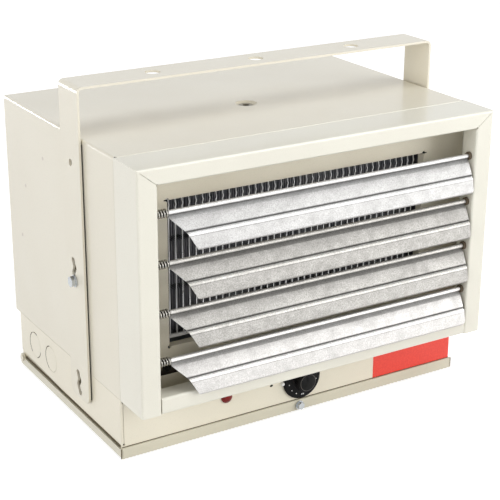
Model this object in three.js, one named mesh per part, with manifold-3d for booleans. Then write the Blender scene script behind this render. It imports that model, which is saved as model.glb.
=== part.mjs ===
// Ceiling mounted fan heater: sheet-metal cabinet on a wiring base, four sprung louvres in a
// mitred front frame, finned heating elements, a motor-driven fan and a U-shaped ceiling yoke.
// Millimetres, +Z up, +X to the right, the louvres face -Y. The origin is on the underside of
// the access door, straight below the yoke's pivot axis.
import * as THREE from 'three';
import { mergeVertices } from 'three/addons/utils/BufferGeometryUtils.js';
import Module from 'manifold-3d';

const wasm = await Module();
wasm.setup();

// ---- driving dimensions -------------------------------------------------------------------

// clearances
const SEAT = 0.3;              // between a piece and what it sits on or in
const OVERCUT = 2;             // how far a cutting body runs past what it cuts

// cabinet
const BODY_WIDTH = 368;
const SHEET = 1.2;
const BEND = 2.0;              // outside bend radius of the cabinet sheets
const SHELL_DEPTH = 236.4;
const SHELL_HEIGHT = 221;
const REAR_LIP = 11;

// front frame
const FRAME_DEPTH = 42.1;
const STILE_WIDTH = 18.8;
const TOP_BORDER = 15.2;
const RAIL_HEIGHT = 15.2;
const RETURN_DEPTH = 18;
const MITRE_SLIT = 0.5;
const RELIEF_RADIUS = 1.1;

// outlet
const PANEL_SETBACK = 39.6;    // frame's face to the outlet panel's face
const OUTLET_WIDTH = 272.4;
const OUTLET_HEIGHT = 135.6;
const OUTLET_BOTTOM = 98.6;
const OUTLET_FLANGE = 8.4;
const PANEL_FLANGE = 14;
const NOTCH_RADIUS = 1.8;

// outlet guard
const GUARD_PITCH = 6.7;
const GUARD_COUNT = 40;
const GUARD_STRIP = 0.8;
const GUARD_STRIP_DEPTH = 2.0;
const GUARD_LOW = 104;
const GUARD_HIGH = 233;
const GUARD_RAIL = 3;

// louvres
const LOUVRE_COUNT = 4;
const LOUVRE_TOP_AXIS = 235.4;
const LOUVRE_PITCH = 44.4;
const LOUVRE_SETBACK = 8;      // frame's face to the louvre axis
const LOUVRE_LEFT = 152.2;
const LOUVRE_RIGHT = 162;
const LOUVRE_SHEET = 0.8;
const BEAD_RADIUS = 2.1;
const PIN_RADIUS = 1.4;
const PIN_CLEARANCE = 0.35;
const END_PIN_RADIUS = 2.0;
const SPRING_END_CUT = 22;     // how far the blade's lower corner steps in at the sprung end
const END_CORNER = 5;          // its rounding
const THROAT_DROP = 5.2;       // under the bead, where the upper flat starts
const THROAT_REACH = 3.2;
const CREASE_DROP = 17.2;      // bottom of the groove pressed along the blade
const CREASE_REACH = 8.3;
const RIDGE = 1.9;             // how far the ridge below the groove stands forward
const BLADE_DROP = 31.8;
const BLADE_REACH = 13;
const HEM = 1.2;

// louvre springs
const SPRING_CURLS = 4;
const SPRING_STEPS = 8;
const SPRING_SIDES = 5;
const SPRING_WIRE_RADIUS = 0.55;
const SPRING_MEAN_RADIUS = 3.2;

// wiring base
const BASE_HEIGHT = 57;
const BASE_DEPTH = 227.6;
const SKIRT_FOOT = 2.4;        // height of the skirts' lower edge
const SKIRT_INSET = 1.0;
const SKIRT_HEIGHT = 28;
const SIDE_EDGE_FRONT = 11.5;  // height of the outer side's lower edge at the front
const SIDE_EDGE_REAR = 16.5;
const SIDE_EDGE_RISE_AT = 108; // from the base's front face to where that edge starts to rise
const DECK_FLANGE = 11;
const WIRE_HOLE_RADIUS = 8;
const WIRE_HOLE_X = 120;
const WIRE_HOLE_Y = -30;

// knockouts in the left side
const KNOCKOUT_RADIUS = 13;
const KNOCKOUT_HEIGHT = 35;
const KNOCKOUT_FROM_REAR = 37;
const KNOCKOUT_SPACING = 38.5;

// access door
const DOOR_SHEET = 1.2;
const DOOR_LIP = 10.5;
const DOOR_SIDE = 9.3;
const LIP_GAP = 0.5;
const DOOR_CORNER = 4;
const HINGE_HEIGHT = 8.5;
const HINGE_FROM_REAR = 5;
const HINGE_PIN_RADIUS = 1.9;
const HINGE_EAR_RADIUS = 5;
const SCREW_X = 2.2;
const SCREW_HEIGHT = 5.2;

// controls on the base front
const KNOB_X = 4.5;
const KNOB_HEIGHT = 32.3;
const SKIRT_RADIUS = 20.3;
const SKIRT_THICKNESS = 2.6;
const HUB_RADIUS = 10.2;
const HUB_REACH = 9.5;
const KNOB_SHAFT_RADIUS = 3;
const PILOT_X = -77;
const PILOT_HEIGHT = 33;
const PILOT_RADIUS = 5.6;
const PILOT_REACH = 3.6;
const DIAL_MARK_X = -28.3;
const THERMOSTAT_WIDTH = 44;
const THERMOSTAT_HEIGHT = 30;
const THERMOSTAT_DEPTH = 24;
const THERMOSTAT_LUG = 8;

// yoke
const YOKE_SHEET = 2.0;
const YOKE_WIDTH = 38.2;
const YOKE_BEND = 5;
const YOKE_SIDE_GAP = 1.6;
const YOKE_TOP = 324;
const YOKE_FOOT = 26.5;
const YOKE_FOOT_RADIUS = 8;
const YOKE_AXIS_FROM_FRONT = 120;
const YOKE_AXIS_HEIGHT = 143.5;
const YOKE_HOLE_RADIUS = 7;
const YOKE_HOLE_SPACING = 106;
const YOKE_PILOT_RADIUS = 3.2;
const YOKE_PILOT_HEIGHT = 254;
const SLOT_HALF_WIDTH = 3.4;
const SLOT_LENGTH = 18.4;      // between the centres of its end lobes
const SLOT_WAVE = 3.0;
const LOWER_SLOT_HEIGHT = 33;
const BOLT_RADIUS = 3.0;
const BOLT_HEAD_FLATS = 9;
const BOLT_HEAD_HEIGHT = 5;
const BOLT_FLANGE_RADIUS = 5.6;
const WASHER_RADIUS = 8;

// top insert
const DIMPLE_RADIUS = 11;
const DIMPLE_DEPTH = 2.4;
const DIMPLE_BACK = 17;        // behind the yoke's axis
const INSERT_FLATS = 13;
const INSERT_BORE = 3.2;
const INSERT_HEIGHT = 7;

// electrical pieces under the deck
const CONTACTOR_AT = 85;
const CONTACTOR_BACK = 11;
const CONTACTOR_WIDTH = 46;
const CONTACTOR_DEPTH = 62;
const CONTACTOR_HEIGHT = 34;
const CONTACTOR_STEP = 8;
const TERMINAL_AT = -90;
const TERMINAL_BACK = 23;
const TERMINAL_LENGTH = 60;
const TERMINAL_DEPTH = 26;
const TERMINAL_BASE = 8;
const TERMINAL_HEIGHT = 20;
const TERMINAL_WAYS = 4;
const GROUND_AT = -146;
const GROUND_BACK = 24;
const GROUND_FLATS = 8;

// heating elements
const ELEMENT_COUNT = 3;
const FIN_COUNT = 20;
const FIN_MARGIN = 13.85;      // last fin's middle to its bracket
const FIN_SHEET = 0.8;
const FIN_HEIGHT = 40;
const FIN_DEPTH = 24;
const ELEMENT_SETBACK = 35;    // outlet panel's face to the element axis
const ELEMENT_RADIUS = 4.4;
const ELEMENT_REACH = 14;      // element's end past its bracket
const TERMINAL_RADIUS = 2;
const BRACKET_CLEARANCE = 6.6; // outlet's neck to a bracket
const BRACKET_MARGIN = 14;
const BRACKET_FOOT = 14;
const LIMIT_RADIUS = 9.5;

// fan, motor and inlet
const FAN_SETBACK = 120;       // outlet panel's face to the shroud plate's front
const ORIFICE_RADIUS = 92;
const COLLAR_DEPTH = 14;
const BLADE_COUNT = 5;
const BLADE_RADIUS = 88;
const BLADE_ROOT = 20;
const FAN_HUB_RADIUS = 24;
const FAN_HUB_LENGTH = 22;
const HUB_LEAD = 6;            // hub's front ahead of the shroud plate
const BLADE_CHORD = 54;        // at the tip
const BLADE_ROOT_CHORD = 30;
const BLADE_SHEET = 1.2;
const SHAFT_ENGAGEMENT = 16;
const FAN_SHAFT_RADIUS = 4;
const SHAFT_CLEARANCE = 0.3;
const MOTOR_RADIUS = 41;
const MOTOR_LENGTH = 52;
const MOTOR_GAP = 9;           // fan hub to motor
const BRACKET_ARM = 12;
const BRACKET_REACH = 120;
const BRACKET_PLATE = 2;
const CLAMP_BACK = 20;         // motor's front to its clamp band
const CLAMP_WIDTH = 14;
const CLAMP_THICKNESS = 2.4;
const CLAMP_CLEARANCE = 0.4;
const INLET_RADIUS = 90;
const GUARD_WIRE = 1.3;
const GUARD_OVERHANG = 7;      // outer ring past the inlet's edge
const GUARD_RINGS = 6;
const GUARD_RING_PITCH = 14;
const GUARD_BADGE_RADIUS = 16;
const GUARD_BARS = 2;

// ---- places worked out from the driving dimensions ----------------------------------------

const HALF = BODY_WIDTH / 2;
const FACE_Y = -YOKE_AXIS_FROM_FRONT;
const BASE_FRONT_Y = FACE_Y + FRAME_DEPTH + SEAT;
const SHELL_REAR_Y = BASE_FRONT_Y + SHELL_DEPTH;
const BASE_REAR_Y = BASE_FRONT_Y + BASE_DEPTH;
const SEAM_Z = BASE_HEIGHT + SEAT;
const TOP_Z = BASE_HEIGHT + SHELL_HEIGHT;
const INNER_HALF = HALF - SHEET - SEAT;
const INNER_TOP = TOP_Z - SHEET - SEAT;
const INNER_BOTTOM = SEAM_Z + SHEET + SEAT;
const PANEL_Y = FACE_Y + PANEL_SETBACK;
const OUTLET_HALF = OUTLET_WIDTH / 2;
const OUTLET_TOP = OUTLET_BOTTOM + OUTLET_HEIGHT;
const OUTLET_MIDDLE = OUTLET_BOTTOM + OUTLET_HEIGHT / 2;
const RETURN_X = HALF - STILE_WIDTH;
const RETURN_REAR_Y = FACE_Y + RETURN_DEPTH;
const LOUVRE_Y = FACE_Y + LOUVRE_SETBACK;
const FAN_Z = SEAM_Z + (TOP_Z - SEAM_Z) / 2;
const SHROUD_Y = PANEL_Y + FAN_SETBACK;
const DECK_Z = BASE_HEIGHT - SHEET - SEAT;
const DOOR_HALF = HALF + SEAT + DOOR_SHEET;
const DOOR_FRONT_Y = BASE_FRONT_Y - LIP_GAP - DOOR_SHEET;
const HINGE_Y = BASE_REAR_Y - HINGE_FROM_REAR;
const YOKE_HALF = HALF + YOKE_SIDE_GAP + YOKE_SHEET;
const GUARD_Y = PANEL_Y + OUTLET_FLANGE + SEAT;
const BRACKET_X = OUTLET_HALF + SHEET + BRACKET_CLEARANCE;
const ELEMENT_HALF_LENGTH = BRACKET_X + ELEMENT_REACH;
const FIN_PITCH = 2 * (BRACKET_X - FIN_MARGIN) / (FIN_COUNT - 1);

// ---- solids -------------------------------------------------------------------------------

function toSolid(geometry) {
  const bare = new THREE.BufferGeometry();
  bare.setAttribute('position', geometry.getAttribute('position').clone());
  if (geometry.index) bare.setIndex(geometry.index.clone());
  const merged = mergeVertices(bare, 1e-4);
  const mesh = new wasm.Mesh({
    numProp: 3,
    vertProperties: new Float32Array(merged.getAttribute('position').array),
    triVerts: new Uint32Array(merged.index.array),
  });
  return new wasm.Manifold(mesh);
}

function toGeometry(solid) {
  const mesh = solid.getMesh();
  const geometry = new THREE.BufferGeometry();
  geometry.setAttribute('position', new THREE.BufferAttribute(mesh.vertProperties, 3));
  geometry.setIndex(new THREE.BufferAttribute(mesh.triVerts, 1));
  geometry.computeVertexNormals();
  return geometry;
}

const join = (...solids) => solids.reduce((whole, piece) => whole.add(piece));
const cut = (solid, ...tools) => tools.reduce((whole, tool) => whole.subtract(tool), solid);

function box(x, y, z) {
  const geometry = new THREE.BoxGeometry(x[1] - x[0], y[1] - y[0], z[1] - z[0]);
  geometry.translate((x[0] + x[1]) / 2, (y[0] + y[1]) / 2, (z[0] + z[1]) / 2);
  return toSolid(geometry);
}

const AXES = {
  X: new THREE.Matrix4().makeBasis(
    new THREE.Vector3(0, 1, 0), new THREE.Vector3(0, 0, 1), new THREE.Vector3(1, 0, 0)),
  Y: new THREE.Matrix4().makeBasis(
    new THREE.Vector3(0, 0, 1), new THREE.Vector3(1, 0, 0), new THREE.Vector3(0, 1, 0)),
  Z: new THREE.Matrix4(),
};

// An outline drawn on the plane square to an axis and pushed along it. Outlines are drawn as
// (y, z) for X, (x, z) for Y and (x, y) for Z.
function prism(axis, outline, from, to, curveSegments = 8) {
  const drawn = axis === 'Y' ? outline.map(([x, z]) => [z, x]) : outline;
  const shape = new THREE.Shape(drawn.map(([u, v]) => new THREE.Vector2(u, v)));
  const geometry = new THREE.ExtrudeGeometry(shape, {
    depth: to - from, bevelEnabled: false, curveSegments,
  });
  geometry.translate(0, 0, from);
  geometry.applyMatrix4(AXES[axis]);
  return toSolid(geometry);
}

function circle(centre, radius, sides, turn = 0) {
  return Array.from({ length: sides }, (_, i) => {
    const angle = turn + 2 * Math.PI * i / sides;
    return [centre[0] + radius * Math.cos(angle), centre[1] + radius * Math.sin(angle)];
  });
}

const sidesFor = (radius) => (radius < 3 ? 12 : radius < 12 ? 20 : radius < 30 ? 28 : 48);

const rod = (axis, centre, radius, from, to, sides = sidesFor(radius)) => (
  prism(axis, circle(centre, radius, sides), from, to));

const hexRod = (axis, centre, flats, from, to) => (
  prism(axis, circle(centre, flats / Math.sqrt(3), 6, Math.PI / 6), from, to));

const tubeRing = (axis, centre, inner, outer, from, to) => cut(
  rod(axis, centre, outer, from, to),
  rod(axis, centre, inner, from - OVERCUT, to + OVERCUT));

function roundedRectangle(low, high, radius, steps = 4) {
  const corners = [
    [high[0] - radius, high[1] - radius, 0],
    [low[0] + radius, high[1] - radius, 1],
    [low[0] + radius, low[1] + radius, 2],
    [high[0] - radius, low[1] + radius, 3],
  ];
  return corners.flatMap(([u, v, quarter]) => Array.from({ length: steps + 1 }, (_, i) => {
    const angle = (quarter + i / steps) * Math.PI / 2;
    return [u + radius * Math.cos(angle), v + radius * Math.sin(angle)];
  }));
}

// The outline of a bent sheet: its outer face runs through the points, its thickness lies to
// their left, and every corner is an arc of the given outside radius.
function bentSheet(points, thickness, bend, steps = 3) {
  const near = [];
  const far = [];
  const along = (a, b) => new THREE.Vector2(b[0] - a[0], b[1] - a[1]).normalize();
  const leftOf = (d) => new THREE.Vector2(-d.y, d.x);
  const place = (list, point) => list.push([point.x, point.y]);
  points.forEach((raw, i) => {
    const point = new THREE.Vector2(...raw);
    const before = i > 0 ? along(points[i - 1], raw) : along(raw, points[i + 1]);
    const after = i < points.length - 1 ? along(raw, points[i + 1]) : before;
    const turn = Math.atan2(before.cross(after), before.dot(after));
    if (Math.abs(turn) < 1e-6) {
      place(near, point);
      place(far, point.clone().addScaledVector(leftOf(before), thickness));
      return;
    }
    const side = Math.sign(turn);
    const radius = side > 0 ? bend : Math.max(bend - thickness, 0.2);
    const setback = radius * Math.tan(Math.abs(turn) / 2);
    const centre = point.clone().addScaledVector(before, -setback)
      .addScaledVector(leftOf(before), side * radius);
    for (let k = 0; k <= steps; k += 1) {
      const radial = leftOf(before).multiplyScalar(-side)
        .rotateAround(new THREE.Vector2(), turn * k / steps);
      place(near, centre.clone().addScaledVector(radial, radius));
      place(far, centre.clone().addScaledVector(radial, radius - side * thickness));
    }
  });
  return [...near, ...far.reverse()];
}

// Rings of points, joined one to the next and closed with a face at each end.
function loft(rings) {
  const sides = rings[0].length;
  const positions = rings.flat().flatMap((point) => point.toArray());
  const faces = [];
  for (let r = 0; r < rings.length - 1; r += 1) {
    for (let i = 0; i < sides; i += 1) {
      const a = r * sides + i;
      const b = r * sides + (i + 1) % sides;
      faces.push([a, b, b + sides], [a, b + sides, a + sides]);
    }
  }
  const last = (rings.length - 1) * sides;
  faces.push(...capFaces(rings[0]).map(([a, b, c]) => [a, c, b]));
  faces.push(...capFaces(rings[rings.length - 1]).map((face) => face.map((i) => last + i)));
  const geometry = new THREE.BufferGeometry();
  geometry.setAttribute('position', new THREE.Float32BufferAttribute(positions, 3));
  geometry.setIndex(faces.flat());
  if (signedVolume(geometry) < 0) geometry.setIndex(faces.flatMap(([a, b, c]) => [a, c, b]));
  return toSolid(geometry);
}

// Triangles over a flat ring, turned the way that faces away from the next ring.
function capFaces(ring) {
  const origin = ring[0];
  const normal = new THREE.Vector3();
  ring.forEach((point, i) => {
    const next = ring[(i + 1) % ring.length];
    normal.add(new THREE.Vector3().crossVectors(
      point.clone().sub(origin), next.clone().sub(origin)));
  });
  normal.normalize();
  const helper = Math.abs(normal.z) < 0.9 ? new THREE.Vector3(0, 0, 1) : new THREE.Vector3(1, 0, 0);
  const u = new THREE.Vector3().crossVectors(helper, normal).normalize();
  const v = new THREE.Vector3().crossVectors(normal, u);
  const flat = ring.map((point) => new THREE.Vector2(point.dot(u), point.dot(v)));
  return THREE.ShapeUtils.triangulateShape(flat, []);
}

function signedVolume(geometry) {
  const index = geometry.index.array;
  const corner = (i) => new THREE.Vector3().fromBufferAttribute(
    geometry.getAttribute('position'), index[i]);
  let volume = 0;
  for (let i = 0; i < index.length; i += 3) {
    volume += corner(i).dot(corner(i + 1).cross(corner(i + 2))) / 6;
  }
  return volume;
}

// A turned body about a line along Y: the profile is (radius, y) from axis to axis, or closed.
function turnedY(profile, x, z, segments = 28) {
  const points = profile.map(([radius, y]) => new THREE.Vector2(radius, y));
  const geometry = new THREE.LatheGeometry(points, segments);
  geometry.applyMatrix4(new THREE.Matrix4().makeBasis(
    new THREE.Vector3(1, 0, 0), new THREE.Vector3(0, 1, 0), new THREE.Vector3(0, 0, 1)));
  geometry.translate(x, 0, z);
  return positive(geometry);
}

function positive(geometry) {
  const bare = new THREE.BufferGeometry();
  bare.setAttribute('position', geometry.getAttribute('position').clone());
  bare.setIndex(geometry.index.clone());
  const merged = mergeVertices(bare, 1e-4);
  const index = [...merged.index.array];
  const kept = [];
  for (let i = 0; i < index.length; i += 3) {
    const [a, b, c] = index.slice(i, i + 3);
    if (a !== b && b !== c && a !== c) kept.push([a, b, c]);
  }
  merged.setIndex(kept.flat());
  if (signedVolume(merged) < 0) merged.setIndex(kept.flatMap(([a, b, c]) => [a, c, b]));
  return toSolid(merged);
}

// A sheet panel square to Y that fills the cabinet's inside, with a rim turned along Y.
function rimmedPanel(plateY, rimY) {
  const outline = (inset) => roundedRectangle([inset - INNER_HALF, INNER_BOTTOM + inset],
    [INNER_HALF - inset, INNER_TOP - inset], BEND - inset, 2);
  const rim = cut(prism('Y', outline(0), ...rimY),
    prism('Y', outline(SHEET), rimY[0] - OVERCUT, rimY[1] + OVERCUT));
  return join(prism('Y', outline(0), ...plateY), rim);
}

// ---- materials ----------------------------------------------------------------------------

const material = (color, roughness, metalness) => (
  new THREE.MeshStandardMaterial({ color, roughness, metalness }));

const PAINT = material(0xe8e3d2, 0.35, 0.1);
const PAINT_FRONT = material(0xf0ecdc, 0.35, 0.1);
const ALUMINIUM = material(0xc9cacb, 0.32, 0.9);
const SPRING_STEEL = material(0x9a9a98, 0.3, 0.9);
const ZINC = material(0xb9c0c6, 0.35, 0.9);
const STEEL = material(0x8d9196, 0.45, 0.8);
const DARK_STEEL = material(0x3a3d44, 0.6, 0.6);
const BLACK_PLASTIC = material(0x17171a, 0.45, 0.0);
const RED_LENS = material(0x7a141a, 0.15, 0.0);
const BEIGE_PLASTIC = material(0xcfc6ad, 0.5, 0.0);
const BRASS = material(0xb08d45, 0.35, 0.9);

const heater = new THREE.Group();

function addPart(name, solid, look) {
  const mesh = new THREE.Mesh(toGeometry(solid), look);
  mesh.name = name;
  heater.add(mesh);
}

const SIDES = [['left', -1], ['right', 1]];

// ---- cabinet shell, outlet panel and rear -------------------------------------------------

function makeCabinetShell() {
  const sheet = bentSheet(
    [[HALF, SEAM_Z], [HALF, TOP_Z], [-HALF, TOP_Z], [-HALF, SEAM_Z]], SHEET, BEND);
  const lipY = [SHELL_REAR_Y - SHEET, SHELL_REAR_Y];
  const lip = cut(
    box([SHEET / 2 - HALF, HALF - SHEET / 2], lipY, [SEAM_Z, TOP_Z - SHEET / 2]),
    box([REAR_LIP - HALF, HALF - REAR_LIP], [lipY[0] - OVERCUT, lipY[1] + OVERCUT],
      [SEAM_Z - OVERCUT, TOP_Z - REAR_LIP]));
  const mouth = rod('Z', [0, DIMPLE_BACK], DIMPLE_RADIUS - SHEET / 2, TOP_Z - 2 * SHEET, TOP_Z + 1);
  const pivotHole = rod('X', [0, YOKE_AXIS_HEIGHT], BOLT_RADIUS + SEAT,
    -HALF - OVERCUT, HALF + OVERCUT, 16);
  const walls = join(prism('Y', sheet, BASE_FRONT_Y, SHELL_REAR_Y), lip);
  return join(cut(walls, mouth, pivotHole), makeDimple());
}

// The stamped recess round the top insert: a shallow cone with a flat floor and a hole.
function makeDimple() {
  const floor = TOP_Z - DIMPLE_DEPTH;
  const profile = [
    [INSERT_BORE + 1, floor], [DIMPLE_RADIUS - 2.5, floor], [DIMPLE_RADIUS, TOP_Z],
    [DIMPLE_RADIUS, TOP_Z - SHEET], [DIMPLE_RADIUS - 2.5, floor - SHEET],
    [INSERT_BORE + 1, floor - SHEET], [INSERT_BORE + 1, floor],
  ];
  const geometry = new THREE.LatheGeometry(profile.map(([r, z]) => new THREE.Vector2(r, z)), 24);
  geometry.rotateX(Math.PI / 2);
  geometry.translate(0, DIMPLE_BACK, 0);
  return positive(geometry);
}

function makeTopInsert() {
  const top = TOP_Z - DIMPLE_DEPTH - SHEET - SEAT;
  const centre = [0, DIMPLE_BACK];
  return cut(
    hexRod('Z', centre, INSERT_FLATS, top - INSERT_HEIGHT, top),
    rod('Z', centre, INSERT_BORE, top - INSERT_HEIGHT - OVERCUT, top + OVERCUT, 16));
}

function makeOutletPanel() {
  const panel = rimmedPanel([PANEL_Y, PANEL_Y + SHEET], [PANEL_Y, PANEL_Y + PANEL_FLANGE]);
  const neck = box([-OUTLET_HALF - SHEET, OUTLET_HALF + SHEET], [PANEL_Y, PANEL_Y + OUTLET_FLANGE],
    [OUTLET_BOTTOM - SHEET, OUTLET_TOP + SHEET]);
  const through = [PANEL_Y - OVERCUT, PANEL_Y + OUTLET_FLANGE + OVERCUT];
  const outlet = box([-OUTLET_HALF, OUTLET_HALF], through, [OUTLET_BOTTOM, OUTLET_TOP]);
  const notches = [-OUTLET_HALF, OUTLET_HALF].flatMap((x) => [OUTLET_BOTTOM, OUTLET_TOP].map(
    (z) => rod('Y', [x, z], NOTCH_RADIUS, ...through, 12)));
  return cut(join(panel, neck), outlet, ...notches);
}

function makeRearPanel() {
  const y = SHELL_REAR_Y - SHEET - SEAT;
  const panel = rimmedPanel([y - SHEET, y], [y - PANEL_FLANGE, y]);
  const inlet = rod('Y', [0, FAN_Z], INLET_RADIUS, y - SHEET - OVERCUT, y + OVERCUT);
  return cut(panel, inlet);
}

// Concentric wire rings round a flat disc, on crossed wires over the air inlet.
function makeInletGuard() {
  const y = SHELL_REAR_Y - SHEET + GUARD_WIRE;
  const outer = INLET_RADIUS + GUARD_OVERHANG;
  const half = GUARD_WIRE * 0.7;
  const rings = Array.from({ length: GUARD_RINGS }, (_, i) => {
    const radius = outer - i * GUARD_RING_PITCH;
    const wire = circle([radius, y], GUARD_WIRE, 4);
    return turnedY([...wire, wire[0]], 0, FAN_Z, 20);
  });
  const disc = rod('Y', [0, FAN_Z], GUARD_BADGE_RADIUS, y - half, y + half, 20);
  const bars = Array.from({ length: GUARD_BARS }, (_, i) => {
    const bar = box([-outer, outer], [y - half, y + half], [-half, half]);
    return bar.rotate([0, 45 + 180 * i / GUARD_BARS, 0]).translate([0, 0, FAN_Z]);
  });
  return join(...rings, disc, ...bars);
}

// ---- front frame --------------------------------------------------------------------------

// One channel section carried up the left stile, over the top and down the right stile, its
// corners mitred and slit through the face and the inner return.
function makeFrontFrame() {
  const section = bentSheet([
    [0, FACE_Y + FRAME_DEPTH], [0, FACE_Y], [STILE_WIDTH, FACE_Y], [STILE_WIDTH, RETURN_REAR_Y],
  ], SHEET, BEND);
  const drop = TOP_BORDER / STILE_WIDTH;
  const ring = (side, z, slope) => section.map(([inset, y]) => (
    new THREE.Vector3(side * (HALF - inset), y, z - slope * inset)));
  const channel = loft([
    ring(-1, BASE_HEIGHT, 0), ring(-1, TOP_Z, drop), ring(1, TOP_Z, drop), ring(1, BASE_HEIGHT, 0),
  ]);
  const slits = SIDES.flatMap(([, side]) => [mitreSlit(side, drop), mitreRelief(side, drop)]);
  return cut(channel, ...slits, ...framePinHoles());
}

function mitreSlit(side, drop) {
  const start = 2.5 * SHEET;
  const end = STILE_WIDTH + OVERCUT;
  const half = MITRE_SLIT / 2;
  const corner = (inset, shift) => [side * (HALF - inset), TOP_Z - drop * inset + shift];
  const outline = [
    corner(start, half), corner(start, -half), corner(end, -half), corner(end, half),
  ];
  return prism('Y', outline, FACE_Y - OVERCUT, RETURN_REAR_Y + OVERCUT);
}

function mitreRelief(side, drop) {
  const inset = STILE_WIDTH - RELIEF_RADIUS / 2;
  return rod('Y', [side * (HALF - inset), TOP_Z - drop * inset], RELIEF_RADIUS,
    FACE_Y - OVERCUT, FACE_Y + 2 * SHEET, 10);
}

const louvreHeight = (index) => LOUVRE_TOP_AXIS - index * LOUVRE_PITCH;

function framePinHoles() {
  return Array.from({ length: LOUVRE_COUNT }, (_, i) => i).flatMap((i) => {
    const centre = [LOUVRE_Y, louvreHeight(i)];
    const wall = [RETURN_X - SHEET, RETURN_X + 2 * SHEET];
    return [
      rod('X', centre, PIN_RADIUS + PIN_CLEARANCE, -wall[1], -wall[0], 12),
      rod('X', centre, END_PIN_RADIUS + PIN_CLEARANCE, wall[0], wall[1], 14),
    ];
  });
}

function makeBottomRail() {
  const section = bentSheet([
    [RETURN_REAR_Y, BASE_HEIGHT + RAIL_HEIGHT], [FACE_Y, BASE_HEIGHT + RAIL_HEIGHT],
    [FACE_Y, SEAM_Z], [BASE_FRONT_Y - SEAT, SEAM_Z],
  ], SHEET, BEND);
  return prism('X', section, SEAT - RETURN_X, RETURN_X - SEAT);
}

// ---- outlet guard -------------------------------------------------------------------------

function makeOutletGuard() {
  const y = [GUARD_Y, GUARD_Y + GUARD_STRIP_DEPTH];
  const strips = Array.from({ length: GUARD_COUNT }, (_, i) => {
    const x = (i - (GUARD_COUNT - 1) / 2) * GUARD_PITCH;
    return box([x - GUARD_STRIP / 2, x + GUARD_STRIP / 2], y, [GUARD_LOW, GUARD_HIGH]);
  });
  const reach = OUTLET_HALF + SHEET * 2;
  const rails = [GUARD_LOW, GUARD_HIGH].map((z) => box([-reach, reach],
    [y[0] - SEAT / 3, y[1] + SEAT / 3], [z - GUARD_RAIL / 2, z + GUARD_RAIL / 2]));
  const posts = SIDES.map(([, side]) => {
    const x = side * (reach - GUARD_RAIL / 2);
    return box([x - GUARD_RAIL / 2, x + GUARD_RAIL / 2], [y[0] - SEAT / 3, y[1] + SEAT / 3],
      [GUARD_LOW, GUARD_HIGH]);
  });
  return join(...rails, ...posts, ...strips);
}

// ---- louvres and their springs ------------------------------------------------------------

// A rolled bead with a blade below it that has a groove and a ridge pressed along it. The
// blade's lower corner is cut away at the sprung end, so that the louvre can be slipped in
// behind the stile.
function makeLouvre(index) {
  const z = louvreHeight(index);
  const blade = bentSheet(bladeProfile().map(([reach, drop]) => [LOUVRE_Y - reach, z - drop]),
    LOUVRE_SHEET, LOUVRE_SHEET * 1.25, 1);
  const x = [-LOUVRE_LEFT, LOUVRE_RIGHT];
  const bead = rod('X', [LOUVRE_Y, z], BEAD_RADIUS, ...x, 14);
  const sprungPin = rod('X', [LOUVRE_Y, z], PIN_RADIUS, -RETURN_X - 3 * SHEET, x[0] + 1, 12);
  const endPin = rod('X', [LOUVRE_Y, z], END_PIN_RADIUS, x[1] - 1, RETURN_X + 2 * SHEET, 14);
  return cut(join(prism('X', blade, ...x), bead, sprungPin, endPin),
    sprungEndCut(z), rightCornerCut(z));
}

// Forward reach and drop from the louvre's axis, from inside the bead to the hem.
const bladeProfile = () => [
  [-0.4, BEAD_RADIUS - 0.9],
  [THROAT_REACH, THROAT_DROP],
  [CREASE_REACH + 0.3, CREASE_DROP - 1.4],
  [CREASE_REACH, CREASE_DROP],
  [CREASE_REACH + RIDGE, CREASE_DROP + 1],
  [CREASE_REACH + RIDGE + 0.6, CREASE_DROP + 3.4],
  [BLADE_REACH, BLADE_DROP],
  [BLADE_REACH - HEM, BLADE_DROP + HEM],
];

function sprungEndCut(z) {
  const top = z - BEAD_RADIUS - 2.4;
  const foot = z - BLADE_DROP - HEM;
  const inner = SPRING_END_CUT - LOUVRE_LEFT;
  const corner = [0, 1, 2, 3].map((i) => {
    const angle = Math.PI / 2 * (0.6 + i * 0.4 / 3);
    return [inner + END_CORNER * (0.4 - Math.cos(angle)),
      foot + END_CORNER * (1 - Math.sin(angle))];
  });
  return prism('Y', [
    [-LOUVRE_LEFT - OVERCUT, top], [-LOUVRE_LEFT, top],
    [inner - SPRING_END_CUT * 0.42, z - CREASE_DROP], ...corner,
    [inner + END_CORNER * 0.4, foot - OVERCUT], [-LOUVRE_LEFT - OVERCUT, foot - OVERCUT],
  ], LOUVRE_Y - BLADE_REACH - OVERCUT, LOUVRE_Y + BEAD_RADIUS + OVERCUT);
}

function rightCornerCut(z) {
  const foot = z - BLADE_DROP - OVERCUT;
  return prism('Y', [
    [LOUVRE_RIGHT + OVERCUT, foot + 6], [LOUVRE_RIGHT - 3.5, foot],
    [LOUVRE_RIGHT + OVERCUT, foot],
  ], LOUVRE_Y - BLADE_REACH - OVERCUT, LOUVRE_Y);
}

// The spring's path: one wire diameter straight out of the frame, the curls, and one wire
// diameter straight on to the louvre's end.
function springPath() {
  const start = -RETURN_X + SEAT;
  const end = -LOUVRE_LEFT - SEAT;
  const lead = 2 * SPRING_WIRE_RADIUS;
  const steps = SPRING_CURLS * SPRING_STEPS;
  const point = (x, angle) => ({ x, angle });
  const curls = Array.from({ length: steps + 1 }, (_, i) => point(
    start + lead + (end - start - 2 * lead) * i / steps,
    -Math.PI / 2 + 2 * Math.PI * i / SPRING_STEPS));
  return [point(start, curls[0].angle), ...curls, point(end, curls[steps].angle)];
}

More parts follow.
